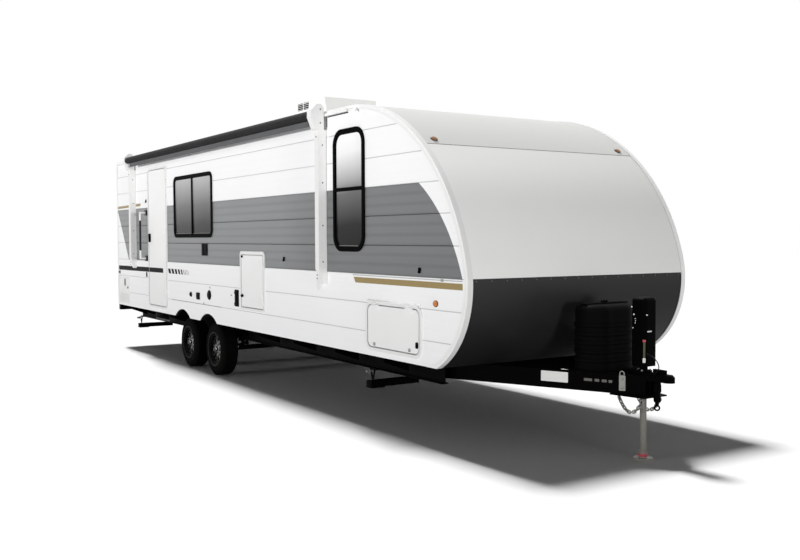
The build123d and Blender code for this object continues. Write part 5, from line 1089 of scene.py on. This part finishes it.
# Valance vinyl: mid grey, slightly rippled along its length.
dress(surface("valance_weave", "#626364", "#565758", 0.7, 90.0, 1.5, gloss=0.2), "awning_valance")
black_screws = screw_tree(black_anodised)
places = []
for station in ARM_STATIONS:
    for apart, depth, heights in ARM_SCREWS:
        for height in heights:
            for side in (-1, 1) if apart else (0,):
                places.append((spot(station + side * apart, -depth, height),
                               (side, 0, 0) if apart else (0, -1, 0)))
add_screws("awning_screws", places, black_screws, "plastic_black", ARM_SCREW_SIZE)
work = bmesh.new()
add_pads(work, -1, (BASE_PLATE, 8, -1, 5, 1.5))
new_piece("awning_base_plate", work, [arm_enamel])


# --- Roof fittings ---
# The air conditioner is a thermoformed white shroud with two banks of louvres cut in each side.
# The roof vents are moulded lids with screwed flanges on sealant beds.
SLAT = (0.012, 0.0022)  # usual width, and thickness
SLAT_SLANT = 0.5
COOLER_HALF = 345.0
COOLER_LOUVRES = ((4762, 3276, 4898, 3362), (4918, 3276, 5054, 3362))
COOLER_PITCH = 22.0
VENTS = ((1600, 0, 210, 75), (6900, 300, 210, 75), (3500, -450, 55, 90))  # x, y, half, height
SMALL_VENT = 100  # half width; below it, only the corners are screwed
VENT_SCREW_SIZE = 0.006
ROOF_SEAM = 2500.0
SEAM_YS = range(-1172, 1173, 293)
SEAM_SECTION = ((-4, -1), (-4, 0.4), (0, 0.8), (4, 0.4), (4, -1))  # along and out, mm
# Shroud plastic: white with a fine leather grain.
shroud_plastic = surface("shroud_plastic", "#F1F1EF", "#E9E9E7", 0.5, 3.0, 0.1)
dress(shroud_plastic, "air_conditioner")
# Vent plastic: the same, a little yellowed by the sun.
vent_plastic = surface("vent_plastic", "#E9E9E6", "#DCDCD8", 0.45, 5.0, 0.1)
dress(vent_plastic, "roof_vents")
# Louvre backs: painted shade, a black sheet behind the slats that stands in for the dark inside.
louvre_shade = surface("louvre_shade", "#101010", "#181818", 0.7, 4.0, 0.1, gloss=0.1)


def slat_tree(finish):
    """Slanted slats, one on each point, as long as the point's "reach"."""
    tree = Growth("slats_" + finish.material.name, ("Width", "Float", SLAT[0]),
                  ("Slant", "Float", SLAT_SLANT))
    size = tree.put("CombineXYZ", {0: 1.0, 1: tree.given["Width"], 2: SLAT[1]})
    thin = tree.put("VectorMath", {0: tree.told("reach"), 1: size}, operation="MULTIPLY")
    return tree.end(tree.put("InstanceOnPoints", {
        "Points": tree.given[0], "Instance": tree.put("MeshCube", {"Size": (1.0, 1.0, 1.0)}),
        "Rotation": tree.put("CombineXYZ", {0: tree.given["Slant"]}), "Scale": thin}), finish)


def add_louvres(name, banks, face, pitch, finish, slot, width, slant):
    """Makes a piece of louvre banks, each (rear, low, front, high), on a wall or shroud."""
    points, reaches = [], []
    for rear, low, front, high in banks:
        height = low + pitch / 2
        while height < high:
            points.append(spot((rear + front) / 2, face, height))
            reaches.append(((front - rear) / 1000, 1, 1))
            height += pitch
    grow(name, point_mesh(name + "_points", "reach", points, reaches), slat_tree(finish), slot,
         Width=width, Slant=slant)


work = bmesh.new()
for side, side_name in SIDES:
    add_pads(work, side, *[(bank, 6, -1, 1, 0.5) for bank in COOLER_LOUVRES], face=COOLER_HALF)
    add_louvres("cooler_louvres_" + side_name, COOLER_LOUVRES, side * (COOLER_HALF + 1.5),
                COOLER_PITCH, shroud_plastic, "plastic_white", 0.011, side * -0.9)
new_piece("cooler_louvre_backs", work, [louvre_shade])
work = bmesh.new()
spots = []
for station, y, half, height in VENTS:
    for low, high, reach, crown in ((0, 9, half + 34, 6), (height - 16, height - 4, half + 9, 4)):
        add_plate(work, (station - reach, y - reach, station + reach, y + reach), 24,
                  ((BODY_TOP + low, 0), (BODY_TOP + high, 0), (BODY_TOP + high + 3, crown)), spot,
                  steps=4)
    for along in (-1, -0.33, 0.33, 1):
        for a, b in ((along, 1), (along, -1), (1, along), (-1, along)):
            if half > SMALL_VENT or abs(along) == 1:
                spots.append(spot(station + a * (half + 20), y + b * (half + 20), BODY_TOP + 12))
new_piece("roof_vent_flanges", work, [vent_plastic])
add_screws("roof_vent_screws", spots, weathered_screws, "zinc", VENT_SCREW_SIZE, (0, 0, 1))
# Lap sealant: a soft grey bead along the seam where the roof meets the cap.
lap_sealant = surface("lap_sealant", "#6F6F6D", "#5F5F5D", 0.7, 9.0, 0.3)
work = bmesh.new()
rings = []
for y in SEAM_YS:
    ring = []
    for along, out in SEAM_SECTION:
        turn = acos((ROOF_SEAM - BROW[1]) / BROW[2]) + along / BROW[2]
        reach = BROW[2] + out
        ring.append(spot(BROW[0] + reach * sin(turn), y, BROW[1] + reach * cos(turn)))
    rings.append(ring)
add_loft(work, rings)
new_piece("cap_seam_sealant", work, [lap_sealant])


# --- Entry door ---
# A plain white laminated slab in an aluminium frame, closed by a black paddle latch with its own
# lock. A rubber seal fills the gap round it. The hinge leaves are screwed to slab and frame, and
# a black powder-coated grab handle stands on the wall behind it.
FLANGE_FACE = 1231.0
SLAB_FACE = 1229.0
DOOR = (1600.0, 735.0, 2440.0, 2746.0)
DOOR_CORNER = 85.0
SLAB_INSET = 36.0
SEAL_WIDTH = 3.5
LATCH = (1650.0, 1678.0, 1726.0, 1802.0)
PADDLE = (1660, 1722, 1716, 1792)
LOCK = (1688, 1700)  # station and height of the latch's lock
LOCK_ROSE = ((0, 0.011), (0.6, 0.011), (0.8, 0.0095), (1, 0.009))
LOCK_BARREL = ((0, 0.006), (0.8, 0.006), (1, 0.005))
FRAME_SCREW_PITCH = 210
FRAME_SCREW_SIZE = 0.0048
HANDLE_FOOT = -1.238  # the feet lie closer to the wall than this
HANDLE_MIDDLE = 1.135
HANDLE_GRIP = 0.44
# Door skin: smooth white gel-coated laminate.
dress(surface("door_skin", "#F2F2F1", "#ECECEB", 0.34, 500.0, 0.3, coat=0.15), "entry_door",
      "kitchen_hatch", "locker_hatch_right", "locker_hatch_left")
# Frame enamel: white paint on extruded aluminium.
frame_enamel = surface("frame_enamel", "#EDEDEC", "#E2E2E1", 0.4, 40.0, 0.05)
dress(frame_enamel, "entry_door_frame", "hatch_frames")
# Seal rubber: pale grey bulb seal, softly soiled.
seal_rubber = surface("seal_rubber", "#8F8F8D", "#7C7C7A", 0.7, 12.0, 0.15)


def handle_finish(name):
    """Powder coat and foam: black feet, white arms, and a black foam grip on the upright."""
    finish = surface(name, "#ECECEB", "#E3E3E2", 0.4, 3.0, 0.05)
    _, y, z = finish.axes()
    away = finish.maths("ABSOLUTE", finish.maths("SUBTRACT", z, HANDLE_MIDDLE))
    black = finish.maths("MAXIMUM", finish.maths("GREATER_THAN", y, HANDLE_FOOT),
                         finish.maths("LESS_THAN", away, HANDLE_GRIP / 2))
    finish.set(Base_Color=finish.mix(black, finish.colour(), "#0A0A0A"))
    return finish


def drawn_in(box, inset):
    """A box drawn in on every side."""
    return (box[0] + inset, box[1] + inset, box[2] - inset, box[3] - inset)


def add_seal(body, box, corner, side):
    """Makes the seal that fills the gap round a door or hatch."""
    work = bmesh.new()
    add_hoop(work, drawn_in(box, SLAB_INSET + 1), max(corner - SLAB_INSET, 6), SEAL_WIDTH,
             side * (SLAB_FACE - 1), side * (SLAB_FACE + 1.2))
    new_piece(body.removeprefix("entry_") + "_seal", work, [seal_rubber], body)


def add_studs(work, side, near, far, stations, sides, *places, face=WALL_FACE):
    """Adds turned studs that stand out from a side's face at (station, height) places."""
    for station, height in places:
        add_turning(work, spot(station, side * (face + near), height),
                    spot(station, side * (face + far), height), stations, sides)


dress(handle_finish("handle_coat_and_foam"), "grab_handle")
add_seal("entry_door", DOOR, DOOR_CORNER, -1)
work = bmesh.new()
add_pads(work, -1, (LATCH, 12, -1, 15.5, 3), (PADDLE, 8, 14, 19, 2.5), face=SLAB_FACE)
add_studs(work, -1, 14, 21, LOCK_ROSE, 20, LOCK, face=SLAB_FACE)
new_piece("door_latch", work, [black_anodised], "entry_door")
work = bmesh.new()
add_studs(work, -1, 19, 22, LOCK_BARREL, 16, LOCK, face=SLAB_FACE)
new_piece("door_latch_barrel", work, [zinc_plate], "entry_door")
spots = []
line = rounded(*DOOR, DOOR_CORNER, 15, 1)
for (x1, z1), (x2, z2) in zip(line, line[1:] + line[:1]):
    count = int(sqrt((x2 - x1) ** 2 + (z2 - z1) ** 2) / FRAME_SCREW_PITCH)
    for step in range(count):
        share = (step + 0.5) / count
        spots.append(spot(x1 + (x2 - x1) * share, -FLANGE_FACE - 0.2, z1 + (z2 - z1) * share))
add_screws("door_frame_screws", spots, weathered_screws, "zinc", FRAME_SCREW_SIZE, (0, -1, 0))


# --- Hatches ---
# The kitchen hatch and the two pass-through locker hatches are the same laminate in aluminium
# frames, with key locks, a black holdback catch each on the wall above, and drip caps.
KITCHEN = (5006.0, 905.0, 5686.0, 1575.0)
KITCHEN_CORNER = 40
LOCKER = (7869.0, 726.0, 8771.0, 1171.0)
LOCKER_CORNER = 95
HATCH_LOCK = ((0, 0.017), (0.35, 0.017), (0.45, 0.015), (0.85, 0.0135), (0.9, 0.010),
              (1.0, 0.0085))
HATCH_LOCKS = ((8022, 790), (8589, 790))
HATCH_PADDLE = (((8684, 812, 8722, 866), 15, -1, 7, 2), ((8694, 828, 8712, 854), 8, 5, 10, 2))
KITCHEN_LATCH = (((5046, 1050, 5086, 1088), 10, -1, 9, 2), ((5052, 1060, 5112, 1078), 7, 7, 16, 2))
KITCHEN_CLIP = ((5046, 1508, 5092, 1532), 5, -1, 8, 2)
HOLDBACKS = ((6169, 1519, -1), (8733, 1471, -1), (8733, 1471, 1), (1500, 2290, -1))
DRIP_SECTION = ((-1, 0), (14, -3), (16, -7), (17, -6), (17, 0), (15, 2), (2, 6), (-1, 6))


def around(station, height, half, half_height):
    """A box about its middle."""
    return (station - half, height - half_height, station + half, height + half_height)


add_seal("kitchen_hatch", KITCHEN, KITCHEN_CORNER, -1)
for side, side_name in SIDES:
    add_seal("locker_hatch_" + side_name, LOCKER, LOCKER_CORNER, side)
for side, side_name in SIDES:
    body = "locker_hatch_" + side_name
    work = bmesh.new()
    add_studs(work, side, -1, 9, HATCH_LOCK, 24, *HATCH_LOCKS, face=SLAB_FACE)
    new_piece(body + "_locks", work, [zinc_plate], body)
    work = bmesh.new()
    add_pads(work, side, *HATCH_PADDLE, face=SLAB_FACE)
    new_piece(body + "_paddle", work, [black_anodised], body)
for name, pads in (("latch", KITCHEN_LATCH), ("clip", (KITCHEN_CLIP,))):
    work = bmesh.new()
    add_pads(work, -1, *pads, face=SLAB_FACE)
    new_piece("kitchen_hatch_" + name, work, [black_anodised], "kitchen_hatch")
work = bmesh.new()
for station, height, side in HOLDBACKS:
    add_pads(work, side, (around(station, height, 17, 14), 6, -1, 9, 2),
             (around(station, height - 22, 10, 12), 6, -1, 17, 3))
new_piece("hatch_holdbacks", work, [black_anodised])
work = bmesh.new()
for box, side in ((LOCKER, -1), (LOCKER, 1), (KITCHEN, -1)):
    add_loft(work, [[spot(x, side * (WALL_FACE + out), box[3] + 3 + up - drop)
                     for out, up in DRIP_SECTION]
                    for x, drop in ((box[0] + 30, 4), (box[0] + 34, 0), (box[2] - 34, 0),
                                    (box[2] - 30, 4))])
new_piece("hatch_drip_caps", work, [frame_enamel])


# --- Stripes ---
# Cut vinyl film laid over the siding: gold bands with a fine grey line, a black band that runs on
# across the door, and a run of slanted bars that thin out toward the front.
FILM = 0.4
GOLD_BANDS = (  # outlines of (station, height)
    ((7637, 1373), (7674, 1322), (9322, 1323), (9322, 1374)),
    ((24, 2240), (24, 2203), (1224, 2218), (1226, 2256)))
GREY_LINE = ((7619, 1396), (7625, 1387), (9320, 1387), (9320, 1396))
BLACK_BANDS = (  # side, face and outline
    (-1, WALL_FACE, ((24, 1302), (24, 1234), (1569, 1242), (1569, 1310))),
    (-1, FLANGE_FACE, ((1572, 1310), (1572, 1242), (1628, 1242), (1628, 1310))),
    (1, WALL_FACE, ((24, 1302), (24, 1234), (2261, 1246), (2258, 1311))))
DOOR_BAND = ((1642, 1310), (1642, 1243), (2261, 1246), (2258, 1311))
BARS = (95, 88, 80, 70, 52, 20, 16, 12, 8)  # widths from the rear, mm
BAR_START = 2437
BAR_GAP = 45
BAR_SLANT = 40
BAR_HEIGHTS = (1313, 1247)
# Gold film: metallic tan, satin.
gold_film = surface("gold_film", "#A08B58", "#8F7B4C", 0.36, 20.0, 0.02, metallic=0.15)
# Black film: glossy, nearly flat.
black_film = surface("black_film", "#171714", "#1E1E1B", 0.45, 25.0, 0.02, gloss=0.03)
# Grey film: a fine pinstripe.
grey_film = surface("grey_film", "#B9B9B8", "#AFAFAE", 0.38, 25.0, 0.02)


def add_film(work, side, outline, face=WALL_FACE, which=0):
    """Adds a thin film with the given outline on a face, mm."""
    add_loft(work, [[spot(x, side * (face + lift), z) for x, z in outline]
                    for lift in (-0.2, FILM)], which)


work = bmesh.new()
for side in (-1, 1):
    for band in GOLD_BANDS:
        add_film(work, side, band)
    add_film(work, side, GREY_LINE, which=1)
new_piece("gold_stripes", work, [gold_film, grey_film])
work = bmesh.new()
for side, face, band in BLACK_BANDS:
    add_film(work, side, band, face)
high, low = BAR_HEIGHTS
for side in (-1, 1):
    start = BAR_START
    for thick in BARS:
        foot = start + BAR_SLANT
        add_film(work, side, ((start, high), (foot, low), (foot + thick, low),
                              (start + thick, high)))
        start += thick + BAR_GAP
new_piece("black_stripes", work, [black_film])
work = bmesh.new()
add_film(work, -1, DOOR_BAND, SLAB_FACE)
new_piece("door_stripe", work, [black_film], "entry_door")


# --- Wall fittings ---
# Moulded fittings screwed through the siding on beds of sealant: an outside speaker with two
# grilles, round and square service ports, a tall black bracket beside the kitchen hatch, and a
# white louvred service door at the rear corner with a handle and a lock.
SPEAKERS = ((3774, 3862), (3874, 3962))  # rear and front
SPEAKER_BARS = [1528 + step * 15.5 for step in range(9)]
INLET_AND_BRACKET = (  # box, corner, near, far and easing
    ((3553, 944, 3667, 1034), 8, -1, 9, 2.5),
    ((3563, 972, 3657, 1026), 5, 8, 15, 2),
    ((4827, 930, 4941, 1128), 8, -1, 7, 2),
    ((4862, 944, 4906, 1114), 6, 6, 19, 3),
    ((4850, 946, 4918, 978), 5, 6, 22, 2),
    ((4850, 1076, 4918, 1108), 5, 6, 22, 2))
PORTS = ((3349, 999, 34), (4001, 1021, 62))  # station, height and radius
PORT_STATIONS = ((0, 1.0), (0.3, 1.0), (0.4, 0.9), (0.75, 0.8), (0.85, 0.7), (1.0, 0.66))
DOOR_CATCH = ((1467, 1164, 1507, 1234), 8, -1, 8, 2)
GREY_BUTTONS = ((4025, 1115), (3810, 907), (4718, 1055))
FRONT_PLATE = ((9028, 1380, 9072, 1402), 10.5, -1, 4, 1.5)
SERVICE = (60.0, 717.0, 645.0, 1138.0)
SERVICE_BANK = (132, 744, 573, 888)
SERVICE_HANDLE = ((362, 990, 402, 1100), 10, 4, 11, 2)
SERVICE_LOCK = ((0, 0.019), (0.4, 0.019), (0.6, 0.015), (1, 0.012))
SERVICE_LOCK_PLACE = (534, 965)
# Black polymer: ultraviolet-stable plastic with a fine spark grain.
black_polymer = surface("black_polymer", "#0C0C0C", "#131313", 0.55, 2.0, 0.08, gloss=0.05)
# White polymer: the same plastic in white, smoother.
white_polymer = surface("white_polymer", "#EEEEED", "#E3E3E2", 0.45, 5.0, 0.06)
work = bmesh.new()
for rear, front in SPEAKERS:
    add_pads(work, -1, ((rear, 1512, front, 1668), 12, -1, 11, 3),
             *[((rear + 12, low, front - 12, low + 6), 3, 10, 14, 1) for low in SPEAKER_BARS])
add_pads(work, -1, *INLET_AND_BRACKET)
for station, height, radius in PORTS:
    stations = [(share, radius * wide / 1000) for share, wide in PORT_STATIONS]
    add_studs(work, -1, -1, 17, stations, 32, (station, height))
    add_pads(work, -1, (around(station, height, radius * 0.3, 4), 3, 15, 22, 1))
add_pads(work, -1, DOOR_CATCH)
new_piece("wall_fittings_black", work, [black_polymer])
work = bmesh.new()
add_pads(work, -1, *[(around(*place, 15, 9), 6, -1, 5, 1.5) for place in GREY_BUTTONS], FRONT_PLATE)
new_piece("wall_fittings_grey", work, [zinc_plate])
work = bmesh.new()
add_hoop(work, SERVICE, 30, 26, -WALL_FACE + 1, -WALL_FACE - 9)
add_pads(work, -1, (drawn_in(SERVICE, 28), 14, -1, 5, 2))
new_piece("service_door", work, [white_polymer])
add_louvres("service_door_louvres", (SERVICE_BANK,), -WALL_FACE - 6, 13, white_polymer,
            "frame_white", 0.012, 0.7)
work = bmesh.new()
add_pads(work, -1, SERVICE_HANDLE)
add_studs(work, -1, 4, 13, SERVICE_LOCK, 20, SERVICE_LOCK_PLACE)
new_piece("service_door_locks", work, [black_polymer])


# --- Marker and tail lamps ---
# Small oval marker lamps stand on black gaskets: amber at the front, dark red at the rear. The
# tall tail lamps are red with a clear reversing panel, moulded with fine prisms and screwed on.
LAMP_HALF = 35.0
LAMP_HALF_TALL = 27.5
GASKET = ((-1, 1.0), (3.2, 1.0), (4.0, 0.97))  # lift in mm and share of the lamp's size
LENS = ((3, 0.86), (9, 0.84), (13, 0.72), (15.2, 0.5), (16.0, 0.2))
MARKER_HEIGHT = 1200
MARKER_STATIONS = ((8960, 1), (86, 3))  # with the number of its lens's finish
CAP_LAMP_Y = 1060.0
CAP_LAMP_HEIGHT = 2545.0
TAIL = (935.0, 1180.0, 1105.0, 1560.0)  # y and height of a tail lamp's box, mm
TAIL_CLEAR = (0.60, 0.69)  # the clear panel's foot and head
TAIL_PRISM_MM = 18.0
TAIL_SCREW_SIZE = 0.0055
# Lamp lenses: clear coloured acrylic over a shaded reflector.
amber_lens = surface("amber_lens", "#C9792F", "#B0641F", 0.16, 5.0, 0.1, coat=0.4)
dull_amber_lens = surface("dull_amber_lens", "#9C6A3A", "#7C4C26", 0.22, 5.0, 0.1, coat=0.3)
red_lens = surface("red_lens", "#5A1412", "#43100E", 0.2, 5.0, 0.1, coat=0.4)


def add_lamp(work, foot, out, along, which):
    """Adds an oval lamp on its gasket, standing at foot: gasket in finish 0, lens in another."""
    up = out.cross(along).normalized()
    for levels, kind in ((GASKET, 0), (LENS, which)):
        add_loft(work, [[foot + out * (lift / 1000) + along * (LAMP_HALF / 1000 * share * c)
                         + up * (LAMP_HALF_TALL / 1000 * share * s) for c, s in turned(28)]
                        for lift, share in levels], kind)


def tail_lens(name):
    """Acrylic lens: dark red with a milky clear panel low down, and fine upright prisms."""
    finish = surface(name, "#7A1512", "#62100E", 0.18, 6.0, 0.05, coat=0.4)
    z = finish.axes()[2]
    clear = finish.maths("MULTIPLY", finish.maths("GREATER_THAN", z, TAIL_CLEAR[0]),
                         finish.maths("LESS_THAN", z, TAIL_CLEAR[1]))
    prisms = finish.node("TexWave", {"Vector": finish.place, "Scale": 1000.0 / TAIL_PRISM_MM},
                         bands_direction="Y").outputs["Fac"]
    finish.set(Base_Color=finish.mix(clear, finish.colour(), "#C9C9C6"),
               Normal=finish.bump(prisms, 0.5, 0.0006))
    return finish


def on_rear(y, z, behind):
    """A place on the rear wall."""
    return spot(-behind, y, z)


work = bmesh.new()
lean = acos((CAP_LAMP_HEIGHT - BROW[1]) / BROW[2])
for side in (-1, 1):
    for station, which in MARKER_STATIONS:
        add_lamp(work, spot(station, side * WALL_FACE, MARKER_HEIGHT), Vector((0, side, 0)),
                 Vector((1, 0, 0)), which)
    add_lamp(work, spot(BROW[0] + BROW[2] * sin(lean), side * CAP_LAMP_Y, CAP_LAMP_HEIGHT),
             Vector((sin(lean), 0, cos(lean))), Vector((0, 1, 0)), 2)
markers = new_piece("marker_lamps_fitted", work,
                    [black_polymer, amber_lens, dull_amber_lens, red_lens])
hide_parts("marker_lamps")
dress(tail_lens("tail_lamp_lens"), "tail_lamps")
work = bmesh.new()
spots = []
for side in (-1, 1):
    rear, front = sorted((side * TAIL[0], side * TAIL[2]))
    add_hoop(work, (rear - 16, TAIL[1] - 16, front + 16, TAIL[3] + 16), 18, 18, -1, 12, on_rear)
    for height in (TAIL[1] - 8, TAIL[3] + 8):
        spots.append(spot(-11.5, side * (TAIL[0] + TAIL[2]) / 2, height))
new_piece("tail_lamp_bezels", work, [white_polymer])
add_screws("tail_lamp_screws", spots, weathered_screws, "zinc", TAIL_SCREW_SIZE, (-1, 0, 0))


# --- Rear wall fittings ---
# Three red lamps stand in a row high up, as the rules ask of a wide trailer. Below the window are
# a plate holder with its own small lamp and a blank plate, and the bumper's ends carry black caps.
REAR_LAMPS = ((-152, 0, 152, -1090, 1090), 2700)  # ys and height
PLATE = (-850.0, 1215.0, -545.0, 1367.0)  # y and height of its corners
PLATE_LAMP = ((-740, 1372, -655, 1400), 6)  # box and corner
PLATE_CATCH = ((-60, 1120, 60, 1185), 12)
PLATE_SCREWS = ((-810, -585), (1350, 1232))  # ys and heights
PLATE_SCREW_SIZE = 0.006
BUMPER = (-76, 584, 26, 677)
BUMPER_END = 1190.0
work = bmesh.new()
for y in REAR_LAMPS[0]:
    add_lamp(work, spot(0, y, REAR_LAMPS[1]), Vector((-1, 0, 0)), Vector((0, 1, 0)), 1)
new_piece("rear_marker_lamps", work, [black_polymer, red_lens])
work = bmesh.new()
for box, radius, far, ease in ((drawn_in(PLATE, -12), 10, 5, 1.5), (*PLATE_LAMP, 22, 5),
                               (*PLATE_CATCH, 14, 3)):
    add_pad(work, box, radius, -1, far, ease, put=on_rear)
new_piece("plate_holder", work, [black_polymer])
# Plate enamel: white on thin aluminium, left blank.
plate_enamel = surface("plate_enamel", "#E4E4E1", "#DADAD7", 0.35, 30.0, 0.05)
work = bmesh.new()
add_pad(work, PLATE, 14, 3, 6.5, 0.6, put=on_rear)
new_piece("plate_blank", work, [plate_enamel])
add_screws("plate_screws", [spot(-6.4, y, height) for y in PLATE_SCREWS[0] for height in
                            PLATE_SCREWS[1]], black_screws, "plastic_black", PLATE_SCREW_SIZE,
           (-1, 0, 0))
work = bmesh.new()
for side in (-1, 1):
    add_plate(work, BUMPER, 10, [(side * (BUMPER_END + out), inset) for out, inset in
                                 ((-6, 0), (1.5, 0), (3.5, 3))], steps=4)
new_piece("bumper_caps", work, [black_polymer])


# --- Service fittings on the left ---
# The plumbing and power come in on the left: a water heater door and a refrigerator door, both
# louvred, a furnace flue with two ports, a power inlet, and three water ports on white flanges.
HEATER = (6300.0, 770.0, 6715.0, 1110.0)
FRIDGE = (5080.0, 760.0, 5640.0, 1170.0)
FLUE = (4560.0, 850.0, 4780.0, 960.0)
FLUE_PIPES = ((4620, 905), (4720, 905))
FLUE_PIPE = ((0, 0.038), (0.2, 0.034), (1.0, 0.034), (1.0, 0.029), (0.2, 0.029))
WATER_PORTS = ((640, 820, 790, 990), (1010, 850, 1140, 980), (1190, 850, 1320, 980))
WATER_PORT = ((0, 0.050), (0.4, 0.050), (0.6, 0.047), (0.9, 0.042), (1, 0.036))
LATCHES = ((715, 1004), (6507, 786), (5360, 778))
DOOR_SCREW_SHARES = (0.04, 0.35, 0.65, 0.96)
PORT_SCREWS = ((658, 772), (1030, 1120), (1210, 1300))
PORT_SCREW_HEIGHTS = (864, 966)
LEFT_SCREW_SIZE = 0.005
work = bmesh.new()
for box in (HEATER, FRIDGE):
    add_hoop(work, box, 22, 30, WALL_FACE - 1, WALL_FACE + 10)
    add_pads(work, 1, (drawn_in(box, 32), 8, -1, 3, 1))
for rear, low, front, high in WATER_PORTS:
    add_pads(work, 1, ((rear, low, front, high), 20, -1, 8, 3))
    add_studs(work, 1, 6, 24, WATER_PORT, 32, ((rear + front) / 2, (low + high) / 2))
new_piece("left_service_frames", work, [white_polymer])
# Painted shade: black sheets behind the heater's and fridge's louvres.
work = bmesh.new()
add_pads(work, 1, *[((rear + 46, low + 110, front - 46, high - 60), 4, 2, 4, 0.6)
                    for rear, low, front, high in (HEATER, FRIDGE)])
new_piece("left_louvre_backs", work, [louvre_shade])
add_louvres("left_louvres", [(rear + 50, low + 112, front - 50, high - 62)
                             for rear, low, front, high in (HEATER, FRIDGE)],
            WALL_FACE + 6, 17, white_polymer, "plastic_white", 0.014, -0.8)
# Flue steel: stainless plate, tanned by heat.
flue_steel = surface("flue_steel", "#8F8A80", "#6E675C", 0.4, 22.0, 0.05, metallic=0.8)
work = bmesh.new()
add_pads(work, 1, (FLUE, 14, -1, 3, 1))
add_studs(work, 1, 2, 24, FLUE_PIPE, 28, *FLUE_PIPES)
new_piece("furnace_flue", work, [flue_steel])
work = bmesh.new()
add_pads(work, 1, *[(around(*place, 26, 9), 6, 2, 12, 2) for place in LATCHES])
new_piece("left_latches", work, [black_polymer])
spots = []
for rear, low, front, high in (HEATER, FRIDGE):
    for share in DOOR_SCREW_SHARES:
        for height in (low + 12, high - 12):
            spots.append(spot(rear + (front - rear) * share, WALL_FACE + 9.6, height))
for stations in PORT_SCREWS:
    spots += [spot(station, WALL_FACE + 7.6, height)
              for height in PORT_SCREW_HEIGHTS for station in stations]
add_screws("left_service_screws", spots, weathered_screws, "zinc", LEFT_SCREW_SIZE, (0, 1, 0))
